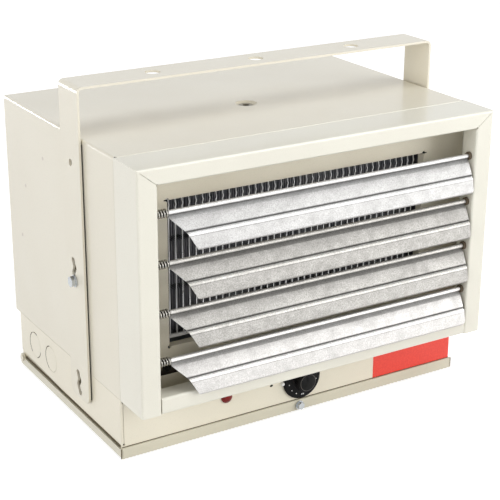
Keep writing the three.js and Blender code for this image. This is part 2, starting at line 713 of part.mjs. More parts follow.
function makeLouvreSpring(index) {
  const path = springPath();
  const centre = ({ x, angle }) => new THREE.Vector3(x,
    LOUVRE_Y + SPRING_MEAN_RADIUS * Math.cos(angle),
    louvreHeight(index) + SPRING_MEAN_RADIUS * Math.sin(angle));
  const rings = path.map((step, i) => {
    const straight = i === 0 || i === path.length - 1;
    const tangent = new THREE.Vector3(1, 0, 0);
    if (!straight) {
      const before = centre(path[Math.max(i - 1, 1)]);
      tangent.copy(centre(path[Math.min(i + 1, path.length - 2)]).sub(before)).normalize();
    }
    const outward = new THREE.Vector3(0, Math.cos(step.angle), Math.sin(step.angle));
    const across = new THREE.Vector3().crossVectors(tangent, outward).normalize();
    return circle([0, 0], SPRING_WIRE_RADIUS, SPRING_SIDES).map(([u, v]) => (
      centre(step).addScaledVector(outward, u).addScaledVector(across, v)));
  });
  return loft(rings);
}

function leastSpringGap() {
  const points = springPath().map(({ x, angle }) => new THREE.Vector3(
    x, SPRING_MEAN_RADIUS * Math.cos(angle), SPRING_MEAN_RADIUS * Math.sin(angle)));
  let least = Infinity;
  points.forEach((a, i) => points.slice(i + SPRING_STEPS / 2).forEach((b) => {
    least = Math.min(least, a.distanceTo(b) - 2 * SPRING_WIRE_RADIUS);
  }));
  return least;
}

// ---- wiring base --------------------------------------------------------------------------

const knockoutCentre = (index) => (
  [BASE_REAR_Y - KNOCKOUT_FROM_REAR - index * KNOCKOUT_SPACING, KNOCKOUT_HEIGHT]);

function makeBaseBox() {
  const outer = roundedRectangle([-HALF, BASE_FRONT_Y], [HALF, BASE_REAR_Y], BEND, 3);
  const inner = roundedRectangle([SHEET - HALF, BASE_FRONT_Y + SHEET],
    [HALF - SHEET, BASE_REAR_Y - SHEET], BEND - SHEET, 3);
  const foot = SKIRT_FOOT;
  const walls = cut(prism('Z', outer, foot, BASE_HEIGHT),
    prism('Z', inner, foot - OVERCUT, BASE_HEIGHT + OVERCUT));
  const body = join(cut(walls, ...sideEdgeCuts()), ...sideSkirts(foot));
  return cut(body, rearEdgeCut(), ...frontOpenings(), ...cornerSeams(), ...hingeHoles(),
    ...[0, 1].map(knockoutHole));
}

function sideEdgeCuts() {
  const rise = BASE_FRONT_Y + SIDE_EDGE_RISE_AT;
  const outline = [
    [BASE_FRONT_Y + 2 * SHEET, 0], [BASE_REAR_Y + OVERCUT, 0],
    [BASE_REAR_Y + OVERCUT, SIDE_EDGE_REAR], [rise, SIDE_EDGE_FRONT],
    [BASE_FRONT_Y + 2 * SHEET, SIDE_EDGE_FRONT],
  ];
  return [
    prism('X', outline, -HALF - OVERCUT, SHEET - HALF),
    prism('X', outline, HALF - SHEET, HALF + OVERCUT),
  ];
}

// Room for the door's floor to swing past under the rear wall.
const rearEdgeCut = () => box([-HALF, HALF], [HINGE_Y + 1, BASE_REAR_Y + OVERCUT], [0, 4]);

// The sides step in above the door's flanges and carry on down inside them.
function sideSkirts(foot) {
  return SIDES.map(([, side]) => {
    const x = [side * (HALF - SKIRT_INSET), side * (HALF - SKIRT_INSET - SHEET)];
    return box(x.sort((a, b) => a - b),
      [BASE_FRONT_Y + SHEET / 2, BASE_REAR_Y - SHEET / 2], [foot, foot + SKIRT_HEIGHT]);
  });
}

function frontOpenings() {
  const y = [BASE_FRONT_Y - OVERCUT, BASE_FRONT_Y + SHEET + OVERCUT];
  const notch = [[SCREW_X - 3, 0], [SCREW_X + 3, 0], [SCREW_X + 3, SCREW_HEIGHT + 1],
    [SCREW_X, SCREW_HEIGHT + 3.4], [SCREW_X - 3, SCREW_HEIGHT + 1]];
  return [
    rod('Y', [KNOB_X, KNOB_HEIGHT], KNOB_SHAFT_RADIUS + SHAFT_CLEARANCE, ...y, 16),
    rod('Y', [PILOT_X, PILOT_HEIGHT], PILOT_RADIUS - 1, ...y, 16),
    prism('Y', roundedRectangle([DIAL_MARK_X - 1.1, KNOB_HEIGHT - 0.8],
      [DIAL_MARK_X + 1.1, KNOB_HEIGHT + 0.8], 0.7, 2), ...y),
    prism('Y', notch, ...y),
  ];
}

function cornerSeams() {
  const y = [BASE_FRONT_Y - OVERCUT, BASE_FRONT_Y + SHEET + OVERCUT];
  const heights = [SIDE_EDGE_FRONT + 1.5, BASE_HEIGHT - 2.5];
  return SIDES.flatMap(([, side]) => {
    const x = side * (HALF - BEND - MITRE_SLIT / 2);
    const reliefs = heights.map((z) => rod('Y', [x, z], RELIEF_RADIUS, ...y, 10));
    return [box([x - MITRE_SLIT / 2, x + MITRE_SLIT / 2], y, heights), ...reliefs];
  });
}

const hingeHoles = () => SIDES.map(([, side]) => {
  const x = [side * (HALF - SKIRT_INSET - 2 * SHEET), side * (HALF + OVERCUT)];
  return rod('X', [HINGE_Y, HINGE_HEIGHT], HINGE_PIN_RADIUS + SEAT,
    ...x.sort((a, b) => a - b), 14);
});

const knockoutHole = (index) => rod('X', knockoutCentre(index), KNOCKOUT_RADIUS,
  -HALF - OVERCUT, OVERCUT - HALF, 28);

const makeKnockout = (index) => rod('X', knockoutCentre(index), KNOCKOUT_RADIUS - SEAT,
  -HALF, SHEET - HALF, 28);

function makeBaseDeck() {
  const y = [BASE_FRONT_Y + SHEET + SEAT, BASE_REAR_Y - SHEET - SEAT];
  const rimY = SHELL_REAR_Y - SHEET - SEAT - PANEL_FLANGE;
  const top = DECK_Z + SHEET;
  const plate = prism('Z', roundedRectangle([-INNER_HALF, y[0]], [INNER_HALF, y[1]], BEND, 2),
    DECK_Z, top);
  const flanges = SIDES.map(([, side]) => {
    const x = [side * INNER_HALF, side * (INNER_HALF - SHEET)];
    return box(x.sort((a, b) => a - b), [PANEL_Y + PANEL_FLANGE + 4, rimY - SEAT],
      [DECK_Z, top + DECK_FLANGE]);
  });
  const wireHole = rod('Z', [WIRE_HOLE_X, WIRE_HOLE_Y], WIRE_HOLE_RADIUS, DECK_Z - OVERCUT, top + OVERCUT);
  return cut(join(plate, ...flanges), wireHole);
}

// ---- access door --------------------------------------------------------------------------

function makeAccessDoor() {
  const tray = bentSheet([
    [-DOOR_HALF, DOOR_SIDE], [-DOOR_HALF, 0], [DOOR_HALF, 0], [DOOR_HALF, DOOR_SIDE],
  ], DOOR_SHEET, BEND);
  const lip = box([-DOOR_HALF, DOOR_HALF], [DOOR_FRONT_Y, DOOR_FRONT_Y + DOOR_SHEET],
    [0, DOOR_LIP]);
  const body = join(prism('Y', tray, DOOR_FRONT_Y, BASE_REAR_Y), lip, ...doorEars());
  const screwHole = rod('Y', [SCREW_X, SCREW_HEIGHT], HINGE_PIN_RADIUS + SEAT,
    DOOR_FRONT_Y - OVERCUT, DOOR_FRONT_Y + DOOR_SHEET + OVERCUT, 14);
  const pinHole = rod('X', [HINGE_Y, HINGE_HEIGHT], HINGE_PIN_RADIUS + SEAT,
    -DOOR_HALF - OVERCUT, DOOR_HALF + OVERCUT, 14);
  return cut(body, screwHole, pinHole, ...doorSeams(), rearCorner());
}

const doorEars = () => SIDES.map(([, side]) => {
  const x = [side * DOOR_HALF, side * (DOOR_HALF - DOOR_SHEET)];
  return rod('X', [HINGE_Y, HINGE_HEIGHT], HINGE_EAR_RADIUS, ...x.sort((a, b) => a - b), 18);
});

const doorSeams = () => SIDES.map(([, side]) => {
  const x = side * (DOOR_HALF - DOOR_SHEET - MITRE_SLIT / 2);
  return box([x - MITRE_SLIT / 2, x + MITRE_SLIT / 2],
    [DOOR_FRONT_Y - OVERCUT, DOOR_FRONT_Y + DOOR_SHEET + OVERCUT],
    [DOOR_SHEET * 1.5, DOOR_LIP + OVERCUT]);
});

// Takes the tray's sharp lower rear corners off along an arc.
function rearCorner() {
  const centre = [BASE_REAR_Y - DOOR_CORNER, DOOR_CORNER];
  const arc = Array.from({ length: 6 }, (_, i) => {
    const angle = -Math.PI / 2 * (1 - i / 5);
    return [centre[0] + DOOR_CORNER * Math.cos(angle), centre[1] + DOOR_CORNER * Math.sin(angle)];
  });
  const beyond = BASE_REAR_Y + OVERCUT;
  return cut(
    prism('X', [...arc, [beyond, DOOR_CORNER], [beyond, -OVERCUT], [centre[0], -OVERCUT]],
      -DOOR_HALF - OVERCUT, DOOR_HALF + OVERCUT),
    box([DOOR_SHEET * 2 - DOOR_HALF, DOOR_HALF - DOOR_SHEET * 2],
      [centre[0] - OVERCUT, beyond + OVERCUT], [-2 * OVERCUT, DOOR_CORNER + OVERCUT]));
}

const makeHingePin = (side) => {
  const span = (from, to) => [side * from, side * to].sort((a, b) => a - b);
  const centre = [HINGE_Y, HINGE_HEIGHT];
  return join(
    rod('X', centre, HINGE_PIN_RADIUS, ...span(HALF - SKIRT_INSET - 2 * SHEET, DOOR_HALF + 0.6), 14),
    rod('X', centre, HINGE_PIN_RADIUS + 1.4,
      ...span(DOOR_HALF + SEAT, DOOR_HALF + SEAT + 1), 14));
};

function makeDoorScrew() {
  const centre = [SCREW_X, SCREW_HEIGHT];
  const seat = DOOR_FRONT_Y - SEAT;
  return join(
    rod('Y', centre, 4.4, seat - 0.9, seat, 20),
    hexRod('Y', centre, 6.4, seat - 4, seat - 0.5),
    rod('Y', centre, HINGE_PIN_RADIUS, seat - 0.5, BASE_FRONT_Y + 7, 12));
}

// ---- controls -----------------------------------------------------------------------------

function makeKnob() {
  const back = BASE_FRONT_Y - SEAT * 2;
  const face = back - SKIRT_THICKNESS;
  const front = face - HUB_REACH;
  const body = turnedY([
    [0, back], [SKIRT_RADIUS, back], [SKIRT_RADIUS, back - 1.4], [SKIRT_RADIUS - 1.6, face],
    [HUB_RADIUS + 1, face - 0.4], [HUB_RADIUS, face - 1.6], [HUB_RADIUS - 0.7, front + 1.2],
    [HUB_RADIUS - 1.9, front], [0, front],
  ], KNOB_X, KNOB_HEIGHT, 32);
  const flutes = Array.from({ length: 12 }, (_, i) => {
    const angle = 2 * Math.PI * i / 12;
    const centre = [
      KNOB_X + (HUB_RADIUS + 0.5) * Math.sin(angle), KNOB_HEIGHT + (HUB_RADIUS + 0.5) * Math.cos(angle)];
    return rod('Y', centre, 1.1, front - OVERCUT, face - 2, 6);
  });
  const pointer = box([KNOB_X - 0.8, KNOB_X + 0.8], [front - 0.6, front + 0.4],
    [KNOB_HEIGHT + 1, KNOB_HEIGHT + HUB_RADIUS - 3]);
  const shaft = rod('Y', [KNOB_X, KNOB_HEIGHT], KNOB_SHAFT_RADIUS, back - 0.5,
    BASE_FRONT_Y + SHEET + 8, 16);
  return join(cut(body, ...flutes), pointer, shaft);
}

function makeThermostatBody() {
  const y = BASE_FRONT_Y + SHEET + SEAT;
  const rear = y + THERMOSTAT_DEPTH;
  const half = [THERMOSTAT_WIDTH / 2, THERMOSTAT_HEIGHT / 2];
  const shell = prism('Y', roundedRectangle([KNOB_X - half[0], KNOB_HEIGHT - half[1]],
    [KNOB_X + half[0], KNOB_HEIGHT + half[1]], BEND, 3), y, rear);
  const bulbSocket = rod('Y', [KNOB_X + half[0] * 0.64, KNOB_HEIGHT - half[1] * 0.4],
    KNOB_SHAFT_RADIUS, rear - 1, rear + THERMOSTAT_LUG, 12);
  const lugs = [-1, 1].map((side) => {
    const x = KNOB_X + side * half[0] * 0.55;
    const z = KNOB_HEIGHT + half[1] * 0.4;
    return box([x - THERMOSTAT_LUG * 0.4, x + THERMOSTAT_LUG * 0.4],
      [rear - 1, rear + THERMOSTAT_LUG], [z, z + SHEET]);
  });
  const bore = rod('Y', [KNOB_X, KNOB_HEIGHT], KNOB_SHAFT_RADIUS + SHAFT_CLEARANCE,
    y - OVERCUT, y + THERMOSTAT_DEPTH * 0.4, 16);
  return cut(join(shell, bulbSocket, ...lugs), bore);
}

function makePilotLens() {
  const seat = BASE_FRONT_Y - SEAT;
  const dome = Array.from({ length: 5 }, (_, i) => {
    const angle = Math.PI / 2 * (i + 1) / 5;
    return [PILOT_RADIUS * 0.86 * Math.cos(angle), seat - 1.2 - (PILOT_REACH - 1.2) * Math.sin(angle)];
  });
  return turnedY([
    [0, BASE_FRONT_Y + 1], [PILOT_RADIUS - 1 - SEAT, BASE_FRONT_Y + 1], [PILOT_RADIUS - 1 - SEAT, seat],
    [PILOT_RADIUS, seat], [PILOT_RADIUS, seat - 1], [PILOT_RADIUS * 0.86, seat - 1.2], ...dome,
  ], PILOT_X, PILOT_HEIGHT, 20);
}

function makePilotHousing() {
  const y = BASE_FRONT_Y + SHEET + SEAT;
  const centre = [PILOT_X, PILOT_HEIGHT];
  const nut = hexRod('Y', centre, 12, y, y + 2.5);
  const tube = rod('Y', centre, 4.4, y, y + 16, 16);
  const tabs = [-1, 1].map((side) => box([PILOT_X - 1.2, PILOT_X + 1.2], [y + 15, y + 22],
    [PILOT_HEIGHT + side * 2.2 - 0.4, PILOT_HEIGHT + side * 2.2 + 0.4]));
  return join(nut, tube, ...tabs);
}

// ---- electrical pieces inside the base ----------------------------------------------------

function makeContactor() {
  const top = DECK_Z - SEAT;
  const half = CONTACTOR_WIDTH / 2;
  const reach = CONTACTOR_DEPTH / 2;
  const low = top - CONTACTOR_HEIGHT;
  const block = (x, y, z) => box([CONTACTOR_AT - x, CONTACTOR_AT + x],
    [CONTACTOR_BACK - y, CONTACTOR_BACK + y], z);
  const posts = [-1, 0, 1].flatMap((column) => [-1, 1].map((row) => rod('Z',
    [CONTACTOR_AT + column * half * 0.65, CONTACTOR_BACK + row * reach * 0.8],
    CONTACTOR_STEP / 3, low - CONTACTOR_STEP / 2, low + SHEET, 8)));
  return join(block(half, reach, [low, top]),
    block(half * 0.83, reach * 0.61, [low - CONTACTOR_STEP, low + SHEET]), ...posts);
}

function makeTerminalBlock() {
  const top = DECK_Z - SEAT;
  const y = [TERMINAL_BACK - TERMINAL_DEPTH / 2, TERMINAL_BACK + TERMINAL_DEPTH / 2];
  const z = [top - TERMINAL_HEIGHT, top - TERMINAL_BASE + SHEET];
  const across = (x, half) => [TERMINAL_AT + x - half, TERMINAL_AT + x + half];
  const barriers = Array.from({ length: TERMINAL_WAYS + 1 }, (_, i) => {
    const span = TERMINAL_LENGTH - 2 * SHEET;
    return box(across(span * (i / TERMINAL_WAYS - 0.5), SHEET * 0.75), y, z);
  });
  const spine = box(across(0, TERMINAL_LENGTH / 2), [TERMINAL_BACK - SHEET * 1.6,
    TERMINAL_BACK + SHEET * 1.6], z);
  return join(box(across(0, TERMINAL_LENGTH / 2), y, [top - TERMINAL_BASE, top]),
    spine, ...barriers);
}

function makeGroundScrew() {
  const top = DECK_Z - SEAT;
  const centre = [GROUND_AT, GROUND_BACK];
  const washer = SHEET * 1.6;
  return join(
    hexRod('Z', centre, GROUND_FLATS, top - washer - GROUND_FLATS * 0.4, top - washer / 2),
    rod('Z', centre, GROUND_FLATS * 0.7, top - washer, top, 16));
}

// ---- heating elements ---------------------------------------------------------------------

const ELEMENT_Y = PANEL_Y + ELEMENT_SETBACK;
const elementHeight = (index) => (
  OUTLET_MIDDLE + ((ELEMENT_COUNT - 1) / 2 - index) * OUTLET_HEIGHT / ELEMENT_COUNT);

function makeElement(index) {
  const z = elementHeight(index);
  const tube = rod('X', [ELEMENT_Y, z], ELEMENT_RADIUS, -ELEMENT_HALF_LENGTH, ELEMENT_HALF_LENGTH, 6);
  const fins = Array.from({ length: FIN_COUNT }, (_, i) => {
    const x = (i - (FIN_COUNT - 1) / 2) * FIN_PITCH;
    return box([x - FIN_SHEET / 2, x + FIN_SHEET / 2],
      [ELEMENT_Y - FIN_DEPTH / 2, ELEMENT_Y + FIN_DEPTH / 2],
      [z - FIN_HEIGHT / 2, z + FIN_HEIGHT / 2]);
  });
  const pins = SIDES.map(([, side]) => {
    const x = [side * (ELEMENT_HALF_LENGTH - 1), side * (ELEMENT_HALF_LENGTH + 10)];
    return rod('X', [ELEMENT_Y, z], TERMINAL_RADIUS, ...x.sort((a, b) => a - b), 8);
  });
  return join(tube, ...fins, ...pins);
}

function makeElementBracket(side) {
  const bottom = elementHeight(ELEMENT_COUNT - 1) - FIN_HEIGHT / 2 - BRACKET_MARGIN / 2;
  const top = elementHeight(0) + FIN_HEIGHT / 2 + BRACKET_MARGIN / 2;
  const front = PANEL_Y + SHEET + SEAT;
  const span = (from, to) => [side * from, side * to].sort((a, b) => a - b);
  const web = box(span(BRACKET_X, BRACKET_X + SHEET),
    [front, ELEMENT_Y + FIN_DEPTH / 2 + 4], [bottom, top]);
  const foot = box(span(BRACKET_X, BRACKET_X + BRACKET_FOOT), [front, front + SHEET],
    [bottom, top]);
  const holes = Array.from({ length: ELEMENT_COUNT }, (_, i) => rod('X',
    [ELEMENT_Y, elementHeight(i)], ELEMENT_RADIUS + SEAT,
    ...span(BRACKET_X - OVERCUT, BRACKET_X + SHEET + OVERCUT), 16));
  return cut(join(web, foot), ...holes);
}

function makeThermalLimit() {
  const x = BRACKET_X + SHEET + SEAT;
  const centre = [ELEMENT_Y - 2, (elementHeight(0) + elementHeight(1)) / 2];
  const tabs = [-1, 1].map((side) => box([x + 8, x + 15],
    [centre[0] + side * 4 - 0.5, centre[0] + side * 4 + 0.5], [centre[1] - 3, centre[1] + 3]));
  return join(rod('X', centre, LIMIT_RADIUS, x, x + 4, 20),
    rod('X', centre, LIMIT_RADIUS * 0.8, x + 3, x + 9, 20), ...tabs);
}

// ---- fan and motor ------------------------------------------------------------------------

function makeFanShroud() {
  const plate = prism('Y', roundedRectangle([-INNER_HALF, SEAM_Z], [INNER_HALF, INNER_TOP], BEND, 2),
    SHROUD_Y, SHROUD_Y + SHEET);
  const rear = SHROUD_Y + COLLAR_DEPTH;
  const wall = SHEET;
  const collar = turnedY([
    [ORIFICE_RADIUS + 4, SHROUD_Y], [ORIFICE_RADIUS + 1, SHROUD_Y + 1.2],
    [ORIFICE_RADIUS, SHROUD_Y + 4], [ORIFICE_RADIUS, rear], [ORIFICE_RADIUS + wall, rear],
    [ORIFICE_RADIUS + wall, SHROUD_Y + 4.4], [ORIFICE_RADIUS + 4, SHROUD_Y + wall],
    [ORIFICE_RADIUS + 4, SHROUD_Y],
  ], 0, FAN_Z, 36);
  const mouth = rod('Y', [0, FAN_Z], ORIFICE_RADIUS + 3.8, SHROUD_Y - OVERCUT,
    SHROUD_Y + SHEET + OVERCUT, 36);
  const deckFlangeSlots = SIDES.map(([, side]) => {
    const x = [side * (INNER_HALF - SHEET - SEAT), side * (INNER_HALF + OVERCUT)];
    return box(x.sort((a, b) => a - b), [SHROUD_Y - OVERCUT, SHROUD_Y + SHEET + OVERCUT],
      [BASE_HEIGHT, DECK_Z + SHEET + DECK_FLANGE + SEAT]);
  });
  return join(cut(plate, mouth, ...deckFlangeSlots), collar);
}

const HUB_FRONT_Y = SHROUD_Y - HUB_LEAD;
const MOTOR_Y = HUB_FRONT_Y + FAN_HUB_LENGTH + MOTOR_GAP;

// One blade: a cambered section that twists flatter and grows wider towards its tip.
function makeBlade(index) {
  const stations = 5;
  const points = 4;
  const rings = Array.from({ length: stations }, (_, s) => {
    const along = s / (stations - 1);
    const radius = BLADE_ROOT + (BLADE_RADIUS - BLADE_ROOT) * along;
    const chord = BLADE_ROOT_CHORD + (BLADE_CHORD - BLADE_ROOT_CHORD) * along * (1.4 - 0.4 * along);
    const pitch = (42 - 20 * along) * Math.PI / 180;
    const section = (offset) => Array.from({ length: points }, (_, i) => {
      const t = i / (points - 1) - 0.5;
      const camber = 0.1 * chord * (1 - 4 * t * t) + offset;
      const across = t * chord * Math.cos(pitch) - camber * Math.sin(pitch);
      const back = t * chord * Math.sin(pitch) + camber * Math.cos(pitch);
      const angle = across / radius;
      return new THREE.Vector3(radius * Math.sin(angle),
        HUB_FRONT_Y + FAN_HUB_LENGTH / 2 + back, FAN_Z + radius * Math.cos(angle));
    });
    return [...section(0), ...section(BLADE_SHEET).reverse()];
  });
  const turn = 360 * index / BLADE_COUNT;
  return loft(rings).translate([0, 0, -FAN_Z]).rotate([0, turn, 0]).translate([0, 0, FAN_Z]);
}

function makeFan() {
  const rear = HUB_FRONT_Y + FAN_HUB_LENGTH;
  const hub = turnedY([
    [0, HUB_FRONT_Y], [FAN_HUB_RADIUS * 0.3, HUB_FRONT_Y],
    [FAN_HUB_RADIUS * 0.4, HUB_FRONT_Y + FAN_HUB_LENGTH * 0.18],
    [FAN_HUB_RADIUS * 0.83, HUB_FRONT_Y + FAN_HUB_LENGTH * 0.27],
    [FAN_HUB_RADIUS, HUB_FRONT_Y + FAN_HUB_LENGTH * 0.45], [FAN_HUB_RADIUS, rear], [0, rear],
  ], 0, FAN_Z, 24);
  const blades = Array.from({ length: BLADE_COUNT }, (_, i) => makeBlade(i));
  const shaft = rod('Y', [0, FAN_Z], FAN_SHAFT_RADIUS, rear - 1,
    MOTOR_Y + SHAFT_ENGAGEMENT, 16);
  return join(hub, ...blades, shaft);
}

function makeMotor() {
  const end = MOTOR_Y + MOTOR_LENGTH;
  const can = turnedY([
    [0, MOTOR_Y], [11, MOTOR_Y], [13, MOTOR_Y + 5], [MOTOR_RADIUS - 6, MOTOR_Y + 7],
    [MOTOR_RADIUS, MOTOR_Y + 12], [MOTOR_RADIUS, end - 10], [MOTOR_RADIUS - 6, end - 5],
    [12, end - 3], [10, end], [0, end],
  ], 0, FAN_Z, 32);
  const bore = rod('Y', [0, FAN_Z], FAN_SHAFT_RADIUS + SHAFT_CLEARANCE, MOTOR_Y - OVERCUT,
    MOTOR_Y + SHAFT_ENGAGEMENT + OVERCUT, 16);
  const vents = Array.from({ length: 10 }, (_, i) => {
    const slot = box([-2.5, 2.5], [end - 8, end + OVERCUT], [18, 30]);
    return slot.rotate([0, 36 * i, 0]).translate([0, 0, FAN_Z]);
  });
  return cut(can, bore, ...vents);
}

// A clamp band round the motor on four arms that step forward to the shroud.
function makeMotorBracket() {
  const y = MOTOR_Y + CLAMP_BACK;
  const foot = SHROUD_Y + SHEET + SEAT;
  const inner = MOTOR_RADIUS + CLAMP_CLEARANCE;
  const band = tubeRing('Y', [0, FAN_Z], inner, inner + CLAMP_THICKNESS, y, y + CLAMP_WIDTH);
  const half = BRACKET_ARM / 2;
  const arms = Array.from({ length: 4 }, (_, i) => {
    const bar = box([-half, half], [y, y + BRACKET_PLATE],
      [inner + CLAMP_THICKNESS / 2, BRACKET_REACH]);
    const post = box([-half, half], [foot, y + BRACKET_PLATE],
      [BRACKET_REACH - BRACKET_PLATE, BRACKET_REACH]);
    const pad = box([-half, half], [foot, foot + BRACKET_PLATE],
      [BRACKET_REACH - BRACKET_ARM, BRACKET_REACH]);
    return join(bar, post, pad).rotate([0, 45 + 90 * i, 0]).translate([0, 0, FAN_Z]);
  });
  return join(band, ...arms);
}

// ---- yoke and its pivots ------------------------------------------------------------------

// A slot whose middle line waves from side to side, so that the bolt drops into its lobes.
function wavySlot(bottom) {
  const steps = 12;
  const middle = (t) => (
    [SLOT_WAVE * (1 - Math.cos(3 * Math.PI * t)) / 2, bottom + SLOT_LENGTH * t]);
  const edge = (side) => Array.from({ length: steps + 1 }, (_, i) => {
    const [y, z] = middle(i / steps);
    return [y + side * SLOT_HALF_WIDTH, z];
  });
  const cap = (centre, start) => Array.from({ length: 5 }, (_, i) => {
    const angle = start + Math.PI * (i + 1) / 6;
    return [centre[0] + SLOT_HALF_WIDTH * Math.cos(angle), centre[1] + SLOT_HALF_WIDTH * Math.sin(angle)];
  });
  return [...edge(1), ...cap(middle(1), 0), ...edge(-1).reverse(), ...cap(middle(0), Math.PI)];
}

function makeYoke() {
  const sheet = bentSheet([
    [YOKE_HALF, YOKE_FOOT], [YOKE_HALF, YOKE_TOP], [-YOKE_HALF, YOKE_TOP], [-YOKE_HALF, YOKE_FOOT],
  ], YOKE_SHEET, YOKE_BEND, 4);
  const half = YOKE_WIDTH / 2;
  const across = [-YOKE_HALF - OVERCUT, YOKE_HALF + OVERCUT];
  const silhouette = roundedRectangle([-half, YOKE_FOOT], [half, YOKE_TOP + 3 * YOKE_BEND],
    YOKE_FOOT_RADIUS, 4);
  const band = prism('Y', sheet, -half, half).intersect(prism('X', silhouette, ...across));
  const screwHoles = [-1, 0, 1].map((i) => rod('Z', [i * YOKE_HOLE_SPACING, 0], YOKE_HOLE_RADIUS,
    YOKE_TOP - YOKE_SHEET - OVERCUT, YOKE_TOP + OVERCUT, 20));
  const pilotHole = rod('X', [0, YOKE_PILOT_HEIGHT], YOKE_PILOT_RADIUS, ...across, 12);
  const slots = [YOKE_AXIS_HEIGHT, LOWER_SLOT_HEIGHT].map(
    (z) => prism('X', wavySlot(z), ...across));
  return cut(band, ...screwHoles, pilotHole, ...slots);
}

function makePivotBolt(side) {
  const span = (from, to) => [side * from, side * to].sort((a, b) => a - b);
  const centre = [0, YOKE_AXIS_HEIGHT];
  const seat = YOKE_HALF + SEAT;
  return join(
    rod('X', centre, BOLT_FLANGE_RADIUS, ...span(seat, seat + 1.2), 20),
    hexRod('X', centre, BOLT_HEAD_FLATS, ...span(seat + 0.8, seat + BOLT_HEAD_HEIGHT)),
    rod('X', centre, BOLT_RADIUS, ...span(HALF - 11, seat + 1), 16));
}

function makePivotWasher(side) {
  const span = [side * (HALF + SEAT), side * (HALF + YOKE_SIDE_GAP - SEAT)].sort((a, b) => a - b);
  return tubeRing('X', [0, YOKE_AXIS_HEIGHT], BOLT_RADIUS + SEAT, WASHER_RADIUS, ...span);
}

function makePivotNut(side) {
  const span = [side * (HALF - SHEET - SEAT), side * (HALF - SHEET - SEAT - 8)].sort((a, b) => a - b);
  const centre = [0, YOKE_AXIS_HEIGHT];
  return cut(hexRod('X', centre, 14, ...span),
    rod('X', centre, BOLT_RADIUS + SEAT, span[0] - OVERCUT, span[1] + OVERCUT, 16));
}

// ---- the heater ---------------------------------------------------------------------------

addPart('cabinet_shell', makeCabinetShell(), PAINT);
addPart('top_insert', makeTopInsert(), ZINC);
addPart('outlet_panel', makeOutletPanel(), PAINT);
addPart('front_frame', makeFrontFrame(), PAINT_FRONT);
addPart('frame_bottom_rail', makeBottomRail(), PAINT_FRONT);
addPart('outlet_guard', makeOutletGuard(), STEEL);
for (let i = 0; i < LOUVRE_COUNT; i += 1) {
  addPart(`louvre_${i + 1}`, makeLouvre(i), ALUMINIUM);
  addPart(`louvre_spring_${i + 1}`, makeLouvreSpring(i), SPRING_STEEL);
}
for (let i = 0; i < ELEMENT_COUNT; i += 1) {
  addPart(`heating_element_${i + 1}`, makeElement(i), DARK_STEEL);
}
addPart('thermal_limit', makeThermalLimit(), BLACK_PLASTIC);
addPart('fan_shroud', makeFanShroud(), STEEL);
addPart('fan_rotor', makeFan(), ALUMINIUM);
addPart('fan_motor', makeMotor(), DARK_STEEL);
addPart('motor_bracket', makeMotorBracket(), STEEL);
addPart('rear_panel', makeRearPanel(), PAINT);
addPart('inlet_guard', makeInletGuard(), PAINT);
addPart('base_box', makeBaseBox(), PAINT);
addPart('base_deck', makeBaseDeck(), STEEL);
for (let i = 0; i < 2; i += 1) addPart(`knockout_${i + 1}`, makeKnockout(i), PAINT);
addPart('access_door', makeAccessDoor(), PAINT);
addPart('door_screw', makeDoorScrew(), ZINC);
addPart('thermostat_knob', makeKnob(), BLACK_PLASTIC);
addPart('thermostat_body', makeThermostatBody(), BEIGE_PLASTIC);
addPart('pilot_lens', makePilotLens(), RED_LENS);
addPart('pilot_housing', makePilotHousing(), BLACK_PLASTIC);
addPart('contactor', makeContactor(), BLACK_PLASTIC);
addPart('terminal_block', makeTerminalBlock(), BLACK_PLASTIC);
addPart('ground_screw', makeGroundScrew(), BRASS);
addPart('yoke', makeYoke(), PAINT);
SIDES.forEach(([name, side]) => {
  addPart(`element_bracket_${name}`, makeElementBracket(side), STEEL);
  addPart(`door_hinge_pin_${name}`, makeHingePin(side), PAINT);
  addPart(`pivot_bolt_${name}`, makePivotBolt(side), ZINC);
  addPart(`pivot_washer_${name}`, makePivotWasher(side), ZINC);
  addPart(`pivot_nut_${name}`, makePivotNut(side), ZINC);
});

console.log(`least gap between louvre spring curls: ${leastSpringGap().toFixed(2)} mm`);

export default heater;
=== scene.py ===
"""Looks for the ceiling mounted fan heater: enamelled sheet metal, mill-finish louvres on small
coil springs, dark finned elements, a black dial and a plain red patch on the base."""
import math
import bmesh
import bpy
from mathutils import Matrix, Vector


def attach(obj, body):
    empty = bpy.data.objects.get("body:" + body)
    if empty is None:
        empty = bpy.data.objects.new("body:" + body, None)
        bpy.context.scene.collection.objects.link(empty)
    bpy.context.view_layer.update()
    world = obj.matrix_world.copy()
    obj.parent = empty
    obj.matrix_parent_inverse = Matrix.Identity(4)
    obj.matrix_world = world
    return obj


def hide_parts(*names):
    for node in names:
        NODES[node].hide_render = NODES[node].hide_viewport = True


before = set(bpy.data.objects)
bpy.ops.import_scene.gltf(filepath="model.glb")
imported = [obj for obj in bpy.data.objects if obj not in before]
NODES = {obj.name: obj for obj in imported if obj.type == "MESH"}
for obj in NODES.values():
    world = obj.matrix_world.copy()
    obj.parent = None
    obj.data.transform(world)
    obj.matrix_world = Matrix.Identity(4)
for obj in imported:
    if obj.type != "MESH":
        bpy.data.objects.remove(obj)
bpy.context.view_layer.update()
MM = 0.001

# ---- sizes shared with the part, in millimetres -------------------------------------------------

